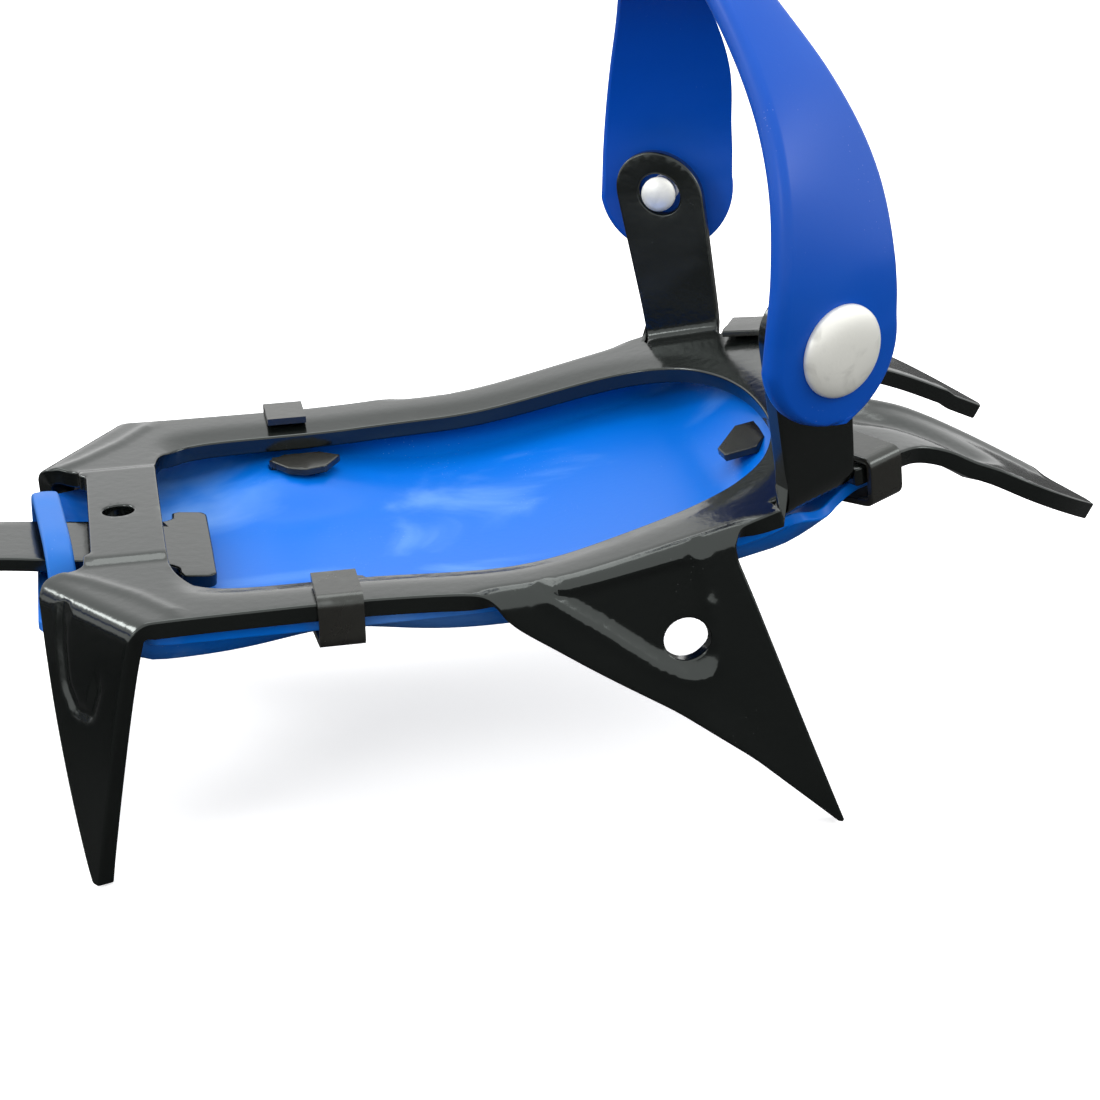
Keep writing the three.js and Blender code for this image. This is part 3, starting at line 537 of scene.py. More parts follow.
# A sheet of even thickness with a rounded rim. place(x, y) gives a point of its top and its normal.
def thickSheet(name, outline, holes, place, look, material, body, replaced=(), press=None, finer=None,
               guides=()):
    flat, faces, rims = fillFlat(outline, holes, look, finer, guides)
    thickness = look["thickness"]
    lifts = press(flat) if press else np.zeros(len(flat))
    tops, unders = [], []
    bm = bmesh.new()
    for (x, y), lift in zip(flat, lifts):
        point, out = place(x, y)
        top = point + out * lift
        tops.append(bm.verts.new(toFrame(top)))
        unders.append(bm.verts.new(toFrame(top - out * thickness)))
    openEdges = {}
    for a, b, c in faces:
        bm.faces.new((tops[a], tops[b], tops[c]))
        bm.faces.new((unders[c], unders[b], unders[a]))
        for edge in ((a, b), (b, c), (c, a)):
            if edge[::-1] in openEdges:
                del openEdges[edge[::-1]]
            else:
                openEdges[edge] = True
    columns = {}

    def column(k):
        if k not in columns:
            x, y = flat[k]
            reach = math.hypot(*rims[k])
            made = [tops[k]]
            turns = [math.pi / 2 * n / 3 for n in (1, 2, 3)]
            upperTurns = [(turn, True) for turn in turns]
            lowerTurns = [(turn, False) for turn in reversed(turns)]
            for turn, upper in upperTurns + lowerTurns:
                point, out = place(x + rims[k][0] * math.sin(turn), y + rims[k][1] * math.sin(turn))
                depth = reach * (1 - math.cos(turn))
                spot = point + out * (lifts[k] - (depth if upper else thickness - depth))
                made.append(bm.verts.new(toFrame(spot)))
            columns[k] = made + [unders[k]]
        return columns[k]

    for a, b in openEdges:
        one, two = column(a), column(b)
        for k in range(len(one) - 1):
            bm.faces.new((two[k], one[k], one[k + 1], two[k + 1]))
    loose = [v for v in bm.verts if not v.link_faces]
    bmesh.ops.delete(bm, geom=loose, context="VERTS")
    return finishMesh(name, bm, material, body, replaced)


# A closed body through rings with equal numbers of points.
def loft(name, rings, material, body, replaced=(), bevel=0):
    bm = bmesh.new()
    rows = [[bm.verts.new(toFrame(p)) for p in ring] for ring in rings]
    count = len(rings[0])
    for one, two in zip(rows, rows[1:]):
        for k in range(count):
            n = (k + 1) % count
            bm.faces.new((one[k], one[n], two[n], two[k]))
    bm.faces.new(rows[0][::-1])
    bm.faces.new(rows[-1])
    return finishMesh(name, bm, material, body, replaced, bevel)


# A smooth curve through points, as rows of any numbers.
def smoothRows(rows, stepsEach):
    rows = np.array(rows, float)
    padded = np.concatenate([[2 * rows[0] - rows[1]], rows, [2 * rows[-1] - rows[-2]]])
    made = []
    for i in range(1, len(padded) - 2):
        a, b, c, d = padded[i - 1:i + 3]
        for k in range(stepsEach):
            t = k / stepsEach
            made.append(0.5 * (2 * b + (c - a) * t + (2 * a - 5 * b + 4 * c - d) * t ** 2
                               + (3 * b - a - 3 * c + d) * t ** 3))
    made.append(rows[-1])
    return np.array(made)


# A round body turned about an axis. Profile: radius and distance along the axis.
def turnedBody(name, profile, centre, axis, material, body, replaced=(), sides=64):
    axis = Vector(axis).normalized()
    turn = axis.to_track_quat("Z", "Y")
    bm = bmesh.new()
    rows = []
    for radius, along in profile:
        spots = [(radius * math.cos(a), radius * math.sin(a), along)
                 for a in (2 * math.pi * k / sides for k in range(sides))]
        if radius < 1e-6:
            spots = spots[:1]
        rows.append([bm.verts.new(toFrame(Vector(centre) + turn @ Vector(s))) for s in spots])
    for one, two in zip(rows, rows[1:]):
        for k in range(sides):
            n = (k + 1) % sides
            corners = [one[k % len(one)], one[n % len(one)], two[n % len(two)], two[k % len(two)]]
            bm.faces.new(list(dict.fromkeys(corners)))
    return finishMesh(name, bm, material, body, replaced)


# Folds of pressed sheet. u runs along a fold, w across it and outwards in the flat pattern.
def foldShape(fold):
    half = fold["radius"] * math.tan(fold["angle"] / 2)
    return half, 2 * half - fold["radius"] * fold["angle"]


def foldLocal(fold, x, y):
    u = (x - fold["origin"][0]) * fold["along"][0] + (y - fold["origin"][1]) * fold["along"][1]
    w = (x - fold["origin"][0]) * fold["out"][0] + (y - fold["origin"][1]) * fold["out"][1]
    return u, w - fold["shift"](x) if "shift" in fold else w


# Where a spot on a folded tab lies in the flat pattern; level is its height in space.
def flatSpot(fold, u, level, height):
    half, spare = foldShape(fold)
    ox, oy = fold["origin"]
    (ax, ay), (nx, ny) = fold["along"], fold["out"]
    base = height(ox + ax * u)
    w = abs(base - level) / math.sin(fold["angle"]) - spare
    u += fold.get("lean", 0.0) * (w + half)
    if "shift" in fold:
        w += fold["shift"](ox + ax * u)
    return ox + ax * u + nx * w, oy + ay * u + ny * w


def folded(folds, height, x, y):
    side = -1.0 if y < 0 else 1.0
    y = abs(y)
    slope = (height(x + 0.05) - height(x - 0.05)) / 0.1
    point = Vector((x, y, height(x)))
    normal = Vector((-slope, 0, 1)).normalized()
    for fold in folds:
        half, spare = foldShape(fold)
        u, w = foldLocal(fold, x, y)
        if w <= -half or not fold["owns"](x, y, u, w):
            continue
        lean = fold.get("lean", 0.0)
        along = Vector((*fold["along"], 0))
        out = Vector((*fold["out"], 0))
        radius, angle = fold["radius"], fold["angle"]
        turned = (w + half) / radius
        if turned < angle:
            reach = -half + radius * math.sin(turned)
            rise = radius * (1 - math.cos(turned))
        else:
            turned = angle
            reach = (w + spare) * math.cos(angle)
            rise = (w + spare) * math.sin(angle)
        base = Vector((x, y, 0)) - out * w - along * lean * (w + half)
        bend = base + out * reach + along * lean * rise
        bend.z = height(base.x) + (rise if fold["upwards"] else -rise)
        tilt = -math.sin(turned) if fold["upwards"] else math.sin(turned)
        bent = (out * tilt + Vector((0, 0, 1)) * math.cos(turned)).normalized()
        share = fold["share"](x, y) if "share" in fold else 1.0
        point = point.lerp(bend, share)
        normal = normal.lerp(bent, share).normalized()
        break
    point.y *= side
    normal.y *= side
    return point, normal


def bothSides(side):
    return side + [(x, -y, *more) for x, y, *more in reversed(side) if y > 0.01]


# Front frame: one sheet with two corner points, two side points, two front points and two posts.
frontFrame = {
    "thickness": 3.0, "spacing": 1.5, "bevel": 0.42,
    "riseSlope": 0.235, "riseStart": 65.0, "riseSoftness": 4.0,
    "pointSlope": 0.56, "pointStart": 127.8, "pointSoftness": 6.0, "lipDrop": 1.0, "lipWidth": 3.4,
    "recessDepth": 0.9, "recessRidge": 0.25, "valleyDepth": 1.3, "creaseDepth": 0.55, "bendHeight": 0.35,
    "ridgeHeight": 0.6,
}


def soften(distance, softness):
    return softness * math.log1p(math.exp(min(distance / softness, 60)))


def frameTop(x):
    f = frontFrame
    rise = f["riseSlope"] * soften(x - f["riseStart"], f["riseSoftness"])
    return rise - (f["riseSlope"] + f["pointSlope"]) * soften(x - f["pointStart"], f["pointSoftness"])


cornerOutline = [
    (10.2, -6), (8.8, -16), (7.4, -30), (6.4, -groundDepth, 0.5), (4.6, -groundDepth, 0.5),
    (2.4, -40), (-2.5, -30.5), (-7.1, -20), (-10.7, -10),
]


def cornerFold(x, y, turn, owns):
    return {
        "origin": (x, y), "along": (math.cos(turn), math.sin(turn)), "out": (-math.sin(turn), math.cos(turn)),
        "angle": math.pi / 2 - math.atan(0.17), "radius": 3.6, "upwards": False, "owns": owns,
    }


def cornerSpots(fold, height, reverse):
    spots = [(*flatSpot(fold, u, z, height), *more) for u, z, *more in cornerOutline]
    return spots[::-1] if reverse else spots


frontCorner = cornerFold(-6, 37.5, math.atan2(0.83, 0.555), lambda x, y, u, w: x < 9)
sideSplay = 0.125
sideFold = {
    "origin": (0.0, 48.3), "along": (1.0, 0.0), "out": (0.0, 1.0),
    "shift": lambda x: -sideSplay * frameTop(min(x, 93)),
    "angle": math.pi / 2 - math.atan(sideSplay), "radius": 3.4, "upwards": False,
    "owns": lambda x, y, u, w: 49 < x and (x < 99 or y > 50) and not postOwns(x, y),
    "share": lambda x, y: smoothStep(x, 49, 57) * (1.0 if y > 50 else 1 - smoothStep(x, 93, 99)),
}
postTwist = math.radians(-24)
postFold = {
    "origin": (107.3, 40.7), "along": (math.cos(postTwist), math.sin(postTwist)),
    "out": (-math.sin(postTwist), math.cos(postTwist)), "angle": math.radians(85.97), "radius": 1.6,
    "upwards": True, "lean": -0.1835, "owns": lambda x, y, u, w: postOwns(x, y),
}
postShape = {"footHalf": 6.6, "headRadius": 7.8, "headCentre": 36.1, "relief": 0.7, "hole": 3.7}


def postOwns(x, y):
    u, w = foldLocal(postFold, x, y)
    half = foldShape(postFold)[0]
    reach = postShape["footHalf"] + postShape["relief"] / 2 if w < 3.4 else 8.4
    return w > -half and abs(u - postFold["lean"] * (w + half)) < reach and w < 36


def postSpots(fold, height, shape):
    head = [(shape["headRadius"] * math.cos(a), shape["headCentre"] + shape["headRadius"] * math.sin(a), 1.2)
            for a in (math.pi * (1 - k / 14) for k in range(15))]
    spots = [(-shape["footHalf"] - 0.3, height(fold["origin"][0]) + 5, 3), *head,
             (shape["footHalf"] + 0.3, height(fold["origin"][0]) + 5, 3)]
    return [(*flatSpot(fold, u, z, height), reach) for u, z, reach in spots]


# Relief cuts beside a post, from the rail's edge to behind its fold.
def reliefSpots(fold, shape, outside, side):
    half = foldShape(fold)[0]
    cuts = []
    inner, outer = shape["footHalf"], shape["footHalf"] + shape["relief"]
    for u, w in ((outer, outside), (outer, -half - 0.4), (inner, -half - 0.4)):
        u *= side
        cuts.append((fold["origin"][0] + fold["along"][0] * u + fold["out"][0] * w,
                     fold["origin"][1] + fold["along"][1] * u + fold["out"][1] * w, 0.3))
    return cuts


sideSpots = [(x, z) for x, z in (
    (57.2, -5.4), (65, -10.7), (83, -22.3), (95.3, -31.4), (108.9, -groundDepth), (109.9, -groundDepth),
    (103.8, -26.8), (96, -5), (93, 3))]
frontSide = (
    [(-5, 0), (-5, 17.6, 0.8), (-6.2, 18.6, 0.8), (-6.2, 21.4, 0.8), (-8.5, 23.4, 2), (-12, 24.6, 2)]
    + cornerSpots(frontCorner, frameTop, True)
    + [(2.4, 46.4, 2), (10, 46), (34, 45.6), (46, 46.6), (54, 48.2, 2)]
    + [(*flatSpot(sideFold, x, z, frameTop), 0.6 if z < -40 else 3) for x, z in sideSpots]
    + [(94.2, 47.0, 1.0), (98, 46.7)]
    + reliefSpots(postFold, postShape, 2.9, -1)
    + postSpots(postFold, frameTop, postShape)
    + reliefSpots(postFold, postShape, 2.4, 1)[::-1]
    + [(118, 38.4), (123.5, 35.6), (128, 32.4), (134, 32.2), (141, 33.6), (147, 34.2), (152, 32.8),
       (157, 30.2), (161.5, 27, 0.4), (161, 25, 0.4), (157, 23), (152, 20.5), (147, 18.4), (141, 15.8),
       (132, 11), (125, 9), (121, 6.5), (119, 3)])
openingSide = [
    (7, 0), (7, 20), (7.2, 24), (8.2, 28.4), (12, 32.6), (18, 34.1), (38, 34.3), (50, 35.9), (58, 36.5),
    (68, 36), (86, 34.2), (92, 32.8), (98, 30.2), (104, 24.6), (107.8, 16.5), (109.6, 8), (110, 0)]


def circle(x, y, radius, count=32):
    return [Vector((x + radius * math.cos(a), y + radius * math.sin(a)))
            for a in (2 * math.pi * k / count for k in range(count))]


# A hole in a folded tab, given by its centre and half sizes in space.
def foldedHole(fold, height, side, u, level, long, high, count):
    spots = []
    for k in range(count):
        a = 2 * math.pi * k / count
        x, y = flatSpot(fold, u + long * math.cos(a), level + high * math.sin(a), height)
        spots.append(Vector((x, y * side)))
    return spots


def sideHole(side):
    return foldedHole(sideFold, frameTop, side, 85.2, -10.8, 3.7, 3.4, 32)


def postHole(fold, height, shape, side):
    return foldedHole(fold, height, side, 0.0, shape["headCentre"], shape["hole"], shape["hole"], 28)


openingOutline = softOutline(bothSides(openingSide), 6)
recessEdge = [
    (63.4, -1.0), (72, -7.2), (80.5, -13.8), (85.2, -16.2), (88.4, -16.2), (89.4, -13.5), (88.2, -6),
    (87.4, 2.5)]
recessFlat = np.array([flatSpot(sideFold, x, z, frameTop) for x, z in recessEdge])
cornerRib = np.array([flatSpot(frontCorner, u, z, frameTop) for u, z in (
    (-6.4, -4), (-6.1, -8), (-4.6, -13.8), (-1.8, -17), (2.1, -16.8), (3.4, -12))])
rearBend = np.array([(-9.6, 24.4), (-5.5, 27.6), (1.5, 35.4), (6.5, 43)])
valley = np.array([(121, 14.5), (124, 17.5), (129, 20.5), (134, 24.5), (138.5, 29.2)])
frontInnerRidge = np.array([(121, 7.4), (125, 10), (132, 12.4), (141, 17.2), (152, 21.9)])


# How far the press lifts or sinks the sheet at each point, the same on both sides.
def pressFront(points):
    f = frontFrame
    across = points * [1, 0] + np.abs(points) * [0, 1]
    x, y = across[:, 0], across[:, 1]
    lip = nearest(points, openingOutline, True)
    ahead = 1 - 0.6 * np.clip((x - 60) / 50, 0, 1)
    lift = -f["lipDrop"] * ahead * np.exp(-((lip / f["lipWidth"]) ** 2)) * np.clip((x - 7.1) / 3, 0, 1)
    panel = 1 - np.clip((y - 19.6) / 3.2, 0, 1)
    panel = panel * panel * (3 - 2 * panel) * (1 - np.clip((x - 7) / 4, 0, 1))
    lift += panelRise * panel
    beyond = nearest(across, recessFlat, True) * np.where(inside(across, recessFlat), -1, 1)
    sunk = np.clip((0.5 - beyond) / 1.7, 0, 1)
    lift -= f["recessDepth"] * sunk * sunk * (3 - 2 * sunk)
    border = nearest(across, recessFlat[:-1])
    lift += f["recessRidge"] * np.exp(-(((border - 1.1) / 0.8) ** 2)) * (beyond > 0)
    lift -= f["creaseDepth"] * np.exp(-((nearest(across, cornerRib) / 1.0) ** 2))
    lift += f["bendHeight"] * np.exp(-((nearest(across, rearBend) / 1.3) ** 2))
    lift -= f["valleyDepth"] * np.exp(-((nearest(across, valley) / 3.0) ** 2))
    lift += f["ridgeHeight"] * np.exp(-((nearest(across, frontInnerRidge) / 1.6) ** 2))
    return lift


def nearFolds(points):
    x, y = points[:, 0], np.abs(points[:, 1])
    corner = np.abs((x + 6) * -0.83 + (y - 37.5) * 0.555) < 4.5
    side = (x > 47) & (x < 101) & (np.abs(y - 48.3) < 4.5)
    foot = np.abs((x - 107.3) * 0.4067 + (y - 40.7) * 0.9135) < 3.5
    ridges = (x < 9) & (np.abs(y - 20) < 4)
    return (corner & (x < 10)) | side | (foot & (np.abs(x - 107) < 11)) | ridges


pressLines = [recessFlat, cornerRib, rearBend, frontInnerRidge]
pressLines += [line * [1, -1] for line in pressLines]
frontHoles = [openingOutline, circle(0, 0, 2.6)]
for side in (1, -1):
    frontHoles.append(sideHole(side))
    frontHoles.append(postHole(postFold, frameTop, postShape, side))
thickSheet("frontFrame", softOutline(bothSides(frontSide), 5), frontHoles,
           lambda x, y: folded([frontCorner, postFold, sideFold], frameTop, x, y), frontFrame, paint,
           "front_section", ["front_frame"], pressFront, nearFolds, pressLines)
print("front frame made")


# Front snow tray and the loop that holds it over the link bar.
frontTray = {
    "thickness": 1.8, "spacing": 2.0, "bevel": 0.35, "halfWidth": 44.2, "rim": 3.35, "wallTop": 42.0,
    "wallFoot": 38.0, "wallDrop": 4.9, "floorDrop": 2.9, "clipX": 31.7, "padLength": 13, "padRelief": 0.55,
    "channelDepth": 5.6,
}


def frontTrayTop(x, y):
    f = frontTray
    across = abs(y)
    ends = smoothStep(x, -16, 6) * (1 - smoothStep(x, 101, 117))
    pad = math.exp(-(((x - f["clipX"]) / f["padLength"]) ** 2)) * smoothStep(across, 14, 27)
    wall = f["wallDrop"] * (1 - smoothStep(across, f["wallFoot"], f["wallTop"]))
    floor = f["floorDrop"] * max(0.0, 1 - (across / f["wallFoot"]) ** 2)
    channel = f["channelDepth"] * (1 - ends) * (1 - smoothStep(x, -4, 10))
    channel *= 1 - smoothStep(across, 21, 25)
    return frameTop(x) - f["rim"] - (wall + floor) * ends * (1 - f["padRelief"] * pad) - channel


def heightPlace(top):
    def place(x, y):
        slopeX = (top(x + 0.1, y) - top(x - 0.1, y)) / 0.2
        slopeY = (top(x, y + 0.1) - top(x, y - 0.1)) / 0.2
        return Vector((x, y, top(x, y))), Vector((-slopeX, -slopeY, 1)).normalized()
    return place


def traySide():
    side = [(-14.2, 0), (-14.2, 20.6, 1)]
    for x in range(-9, 119, 4):
        flare = min(max(21.0, 25.2 + 1.49 * (x + 9.5)), frontTray["halfWidth"])
        side.append((x, flare - 9 * smoothStep(x, 96, 121)))
    return side + [(119.6, 35.0, 2), (119.6, 0)]


clipSlots = []
for side in (1, -1):
    y = side * 32.8
    clipSlots.append(softOutline([(27.6, y - 1.5), (35.8, y - 1.5), (35.8, y + 1.5), (27.6, y + 1.5)], 0.5))
thickSheet("frontTray", softOutline(bothSides(traySide()), 3), clipSlots, heightPlace(frontTrayTop),
           frontTray, trayBlue, "front_section", ["front_snow_tray"])

trayLoop = {
    "rearX": -14.5, "frontX": -10.0, "halfWidth": 20.4, "topZ": 1.1, "drop": 9.4, "thickness": 1.9,
    "edge": 0.55, "crown": 0.25, "shift": 1.2, "slant": 1.6,
}


# Section of a moulded band: rounded edges and a slightly crowned outer face.
def bandSection(width, thickness, edge, crown):
    w, t = width / 2, thickness / 2
    edge = min(edge, w * 0.9, t * 0.98)
    corners = [
        (w - edge, t - edge, 0), (edge - w, t - edge, 90), (edge - w, edge - t, 180),
        (w - edge, edge - t, 270)]
    made = []
    for cx, cy, start in corners:
        for k in range(6):
            a = math.radians(start + 18 * k)
            made.append((cx + edge * math.cos(a), cy + edge * math.sin(a)))
    steps = 8
    dense = []
    for i, here in enumerate(made):
        after = made[(i + 1) % len(made)]
        isLong = math.dist(here, after) > thickness * 0.6
        for k in range(steps if isLong else 1):
            part = k / steps
            dense.append((here[0] + (after[0] - here[0]) * part, here[1] + (after[1] - here[1]) * part))
    return [(a, b + (crown * (1 - (a / w) ** 2) if b > 0 else 0)) for a, b in dense]


def loopRings(look):
    section = bandSection(look["frontX"] - look["rearX"], look["thickness"], look["edge"], look["crown"])
    rings = []
    for i in range(41):
        t = i / 20 - 1
        z = look["topZ"] - look["drop"] * abs(t) ** 5 - look["thickness"] / 2
        middle = (look["rearX"] + look["frontX"]) / 2 + look["shift"] - look["slant"] * t
        rings.append([(middle + a, look["halfWidth"] * t, z + b) for a, b in section])
    return rings


loft("trayLoop", loopRings(trayLoop), loopBlue, "front_section")
print("front tray made")

# Clips: bent strips that wrap the rail and the tray's rim. Drawn outwards from the rail edge and upwards.
clipShape = {
    "width": 7.0, "strip": 1.2, "bevel": 0.25, "tab": 9.0, "drop": 7.0, "gap": 0.3, "tipEnd": 16.0,
    "tipZ": -4.4,
}


def bentStrip(name, path, place, body, replaced):
    line = []
    for i, point in enumerate(path):
        here = Vector(point[:2])
        if i in (0, len(path) - 1):
            line.append(here)
            continue
        before, after = Vector(path[i - 1][:2]), Vector(path[i + 1][:2])
        cut = min(point[2], (before - here).length * 0.48, (after - here).length * 0.48)
        start = here + (before - here).normalized() * cut
        end = here + (after - here).normalized() * cut
        for k in range(7):
            t = k / 6
            line.append(start * (1 - t) ** 2 + here * 2 * t * (1 - t) + end * t * t)
    half = clipShape["width"] / 2
    rings = []
    for i, spot in enumerate(line):
        run = line[min(i + 1, len(line) - 1)] - line[max(i - 1, 0)]
        side = Vector((-run.y, run.x)).normalized() * clipShape["strip"] / 2
        rings.append([place(spot.x + s * side.x, spot.y + s * side.y, h)
                      for s, h in ((1, half), (1, -half), (-1, -half), (-1, half))])
    return loft(name, rings, clipPaint, body, replaced, clipShape["bevel"])


def clipPath(legEnd, legDrop, withTip):
    c = clipShape
    half = c["strip"] / 2
    path = [(-c["tab"], c["gap"] + half), (c["gap"] + half, c["gap"] + half, 1.3),
            (c["gap"] + half, half - c["drop"], 1.3)]
    if not withTip:
        return path + [(-legEnd, half - c["drop"] - legDrop)]
    leg = half - c["drop"] - legDrop
    tip = c["tipZ"] - half
    return path + [(-legEnd - half, leg, 1.2), (-legEnd - half, tip, 0.8), (-c["tipEnd"], tip)]


def clipPlace(x, y, z, side, turn=0.0, slope=0.0):
    turned = Matrix.Rotation(math.radians(turn), 3, "Z") @ Matrix.Rotation(math.radians(slope), 3, "Y")

    def place(outwards, up, along):
        point = turned @ Vector((along, outwards, up)) + Vector((x, y, z))
        return (point.x, point.y * side, point.z)
    return place


sides = (("left", 1), ("right", -1))
toeClip = {"x": 119.6, "y": 37.6, "turn": -28, "slope": -6}
for label, side in sides:
    bentStrip(f"{label}SideClip", clipPath(12, 2.7, True), clipPlace(frontTray["clipX"], 45.8, 0, side),
              "front_section", [f"front_{label}_side_clip"])
    toePlace = clipPlace(toeClip["x"], toeClip["y"], frameTop(toeClip["x"]), side, toeClip["turn"],
                         toeClip["slope"])
    bentStrip(f"{label}ToeClip", clipPath(10, 1.4, False), toePlace, "front_section",
              [f"front_{label}_toe_clip"])

# Wide tips that lie on the tray inside the opening.
clipTips = {
    "thickness": 1.4, "spacing": 1.5, "bevel": 0.25,
    "side": [(27.6, 31.2), (30.6, 26.4), (33.6, 24.9), (37.4, 25.9), (40.4, 31), (37.0, 33.6), (30.4, 33.6)],
    "toe": [(102.6, -1.5), (107.6, 5.6), (111.4, 5.0), (110.6, -3.0), (108.3, -6.0), (102.9, -5.2)],
    "toeSlope": 0.25, "toeX": 107.0, "toeZ": 3.6,
}


def levelPlace(z):
    return lambda x, y: (Vector((x, y, z)), Vector((0, 0, 1)))


def toeTipTop(x, y):
    return clipTips["toeZ"] + clipTips["toeSlope"] * (x - clipTips["toeX"])


for label, side in sides:
    thickSheet(f"{label}SideTip", [Vector((x, y * side)) for x, y in clipTips["side"]], [],
               levelPlace(clipShape["tipZ"] + 0.1), clipTips, clipPaint, "front_section")
thickSheet("toeTip", [Vector(p) for p in clipTips["toe"]], [], heightPlace(toeTipTop), clipTips, clipPaint,
           "front_section")
print("front clips made")

# Link bar, with its hook end low in the opening.
linkBar = {
    "thickness": 2.4, "spacing": 2.4, "bevel": 0.4, "half": 9.7, "tee": 14.5, "rear": -172.0,
    "slotHalf": 3.2, "slotFront": -62.8, "slotRear": -129.2, "slotCorner": 3.2,
    "rise": [(15, -6.6), (8, -5.9), (0, -4.7), (-20, -1.95), (-30, -1.7), (-44, -3.0), (-54, -3.3)],
}
barRows = smoothRows(linkBar["rise"], 10)[::-1]


def barTop(x, y):
    return float(np.interp(x, barRows[:, 0], barRows[:, 1]))


def barSide(look):
    half, tee, rear = look["half"], look["tee"], look["rear"]
    return [
        (15, 0), (15, tee - 1, 0.8), (14, tee, 0.8), (9.6, tee, 0.6), (9, tee - 0.6, 0.6), (9, half + 1.5, 1),
        (7.5, half, 1), (rear + 6, half, 3), (rear, half - 5, 3), (rear, 0)]


def barSlot(look):
    half, front, rear, corner = look["slotHalf"], look["slotFront"], look["slotRear"], look["slotCorner"]
    return [
        (front - corner, half), (front, half), (front, -half), (front - corner, -half),
        (rear + corner, -half), (rear, -half), (rear, half), (rear + corner, half)]


thickSheet("linkBar", softOutline(bothSides(barSide(linkBar)), 2), [softOutline(barSlot(linkBar), 3)],
           heightPlace(barTop), linkBar, paint, "link_bar", ["link_bar"])
print("link bar made")

# Toe harness: one band from rivet to rivet over the toe. Each row: place, width and turn of its face.
harness = {
    "thickness": 4.0, "standOff": 2.2, "endRadius": 12.6, "startWidth": 25.2, "edge": 1.7, "crown": 0.5,
}
toeRows = [
    (107, 50.8, 48, 24.0, 28), (106.5, 46.9, 60, 22.4, 34), (103.5, 40.3, 72, 16.4, 30),
    (98.5, 28.5, 84, 10.6, 24), (94.5, 14.5, 92.6, 9.4, 10), (93.2, 0, 95.5, 9.2, 0)]
postAcross = Vector((math.cos(postTwist), math.sin(postTwist), 0))
postUp = Vector((-0.139, 0.139, 1)).normalized()
postOut = postUp.cross(postAcross).normalized()
toePostFoot = Vector((108.3, 43.7, 12))
toeRivet = toePostFoot + postUp * 24.6


def ringAt(middle, tangent, hint, width):
    across = (hint - tangent * hint.dot(tangent)).normalized()
    outward = tangent.cross(across).normalized()
    section = bandSection(width, harness["thickness"], harness["edge"], harness["crown"])
    return [middle + across * a + outward * b for a, b in section]


# The round end of an arm below its rivet.
def roundEnd(place, up, across):
    radius = harness["endRadius"]
    rings = []
    for i in range(16):
        angle = (math.pi / 2) * (1 - i / 16) ** 1.15
        middle = place - up * radius * 0.985 * math.sin(angle)
        rings.append(ringAt(middle, up, across, 2 * radius * max(math.cos(angle), 0.1)))
    return rings


# One half of a band, up to its middle. Rows: x, y, z, width and three numbers of the across direction.
def bandRings(rows, startUp, stepsEach):
    rows = np.array(rows, float)
    other = rows[-2::-1] * [1, -1, 1, 1, 1, -1, 1]
    line = smoothRows(np.concatenate([rows, other]), stepsEach)
    rings = []
    for i, row in enumerate(line[:len(line) // 2 + 1]):
        run = Vector(line[i + 1][:3] - line[max(i - 1, 0)][:3]).normalized()
        settled = smoothStep(i, 0, stepsEach * 0.9)
        tangent = (run * settled + startUp * (1 - settled)).normalized()
        rings.append(ringAt(Vector(row[:3]), tangent, Vector(row[4:7]), row[3]))
    return rings


armPlace = toeRivet + postOut * (harness["standOff"] + harness["thickness"] / 2)
armRows = [(*armPlace, harness["startWidth"], *postAcross)]
for x, y, z, width, turn in toeRows:
    armRows.append((x, y, z, width, math.cos(math.radians(turn)), -math.sin(math.radians(turn)), 0))
leftArm = roundEnd(armPlace, postUp, postAcross) + bandRings(armRows, postUp, 12)


def mirrored(rings):
    return rings + [[Vector((p.x, -p.y, p.z)) for p in ring] for ring in reversed(rings[:-1])]


loft("toeHarness", mirrored(leftArm), harnessBlue, "toe_harness", ["toe_harness"])
strapEye = {
    "thickness": 4.0, "spacing": 2.0, "bevel": 1.0, "below": 0.6,
    "outline": [(96, 13), (94, 15.5), (77, 17), (73, 15), (73, -15), (77, -17), (94, -15.5), (96, -13)],
    "slot": [(84.5, 12), (84.5, -12), (78, -12), (78, 12)],
}
crownTop = toeRows[-1][2] + harness["thickness"] / 2 - strapEye["below"]
thickSheet("strapEye", softOutline(strapEye["outline"], 2.5), [softOutline(strapEye["slot"], 1.2)],
           levelPlace(crownTop), strapEye, harnessBlue, "toe_harness")
print("toe harness made")

# Rivets: a low wide head outside the arm, a small set tail inside the post.
rivetShape = {
    "head": 7.3, "height": 2.6, "rim": 0.55, "shank": 2.6, "tail": 3.2, "tailFoot": -4.2, "tailHeight": 1.3,
}


def rivetProfile(armFace):
    r = rivetShape
    foot = armFace + 0.3
    tail = r["tailFoot"]
    profile = [
        (0, tail - r["tailHeight"]), (1.2, tail - r["tailHeight"] * 0.97),
        (2.3, tail - r["tailHeight"] * 0.72),
        (3.0, tail - 0.5), (r["tail"], tail - 0.1), (r["tail"], tail), (r["shank"], tail), (r["shank"], foot),
        (r["head"] - 0.2, foot), (r["head"], foot + 0.2), (r["head"], foot + r["rim"])]
    for k in range(1, 13):
        a = math.pi / 2 * k / 12
        profile.append((r["head"] * math.cos(a) ** 0.8 if k < 12 else 0,
                        foot + r["rim"] + (r["height"] - r["rim"]) * math.sin(a)))
    return profile


def addRivet(name, centre, out, side, body, replaced):
    profile = rivetProfile(harness["standOff"] + harness["thickness"])
    turnedBody(name, profile, (centre.x, centre.y * side, centre.z), (out.x, out.y * side, out.z), rivetSteel,
               body, [replaced])


for label, side in sides:
    addRivet(f"toe{label.title()}Rivet", toeRivet, postOut, side, "toe_harness", f"toe_rivet_{label}")
print("toe rivets made")

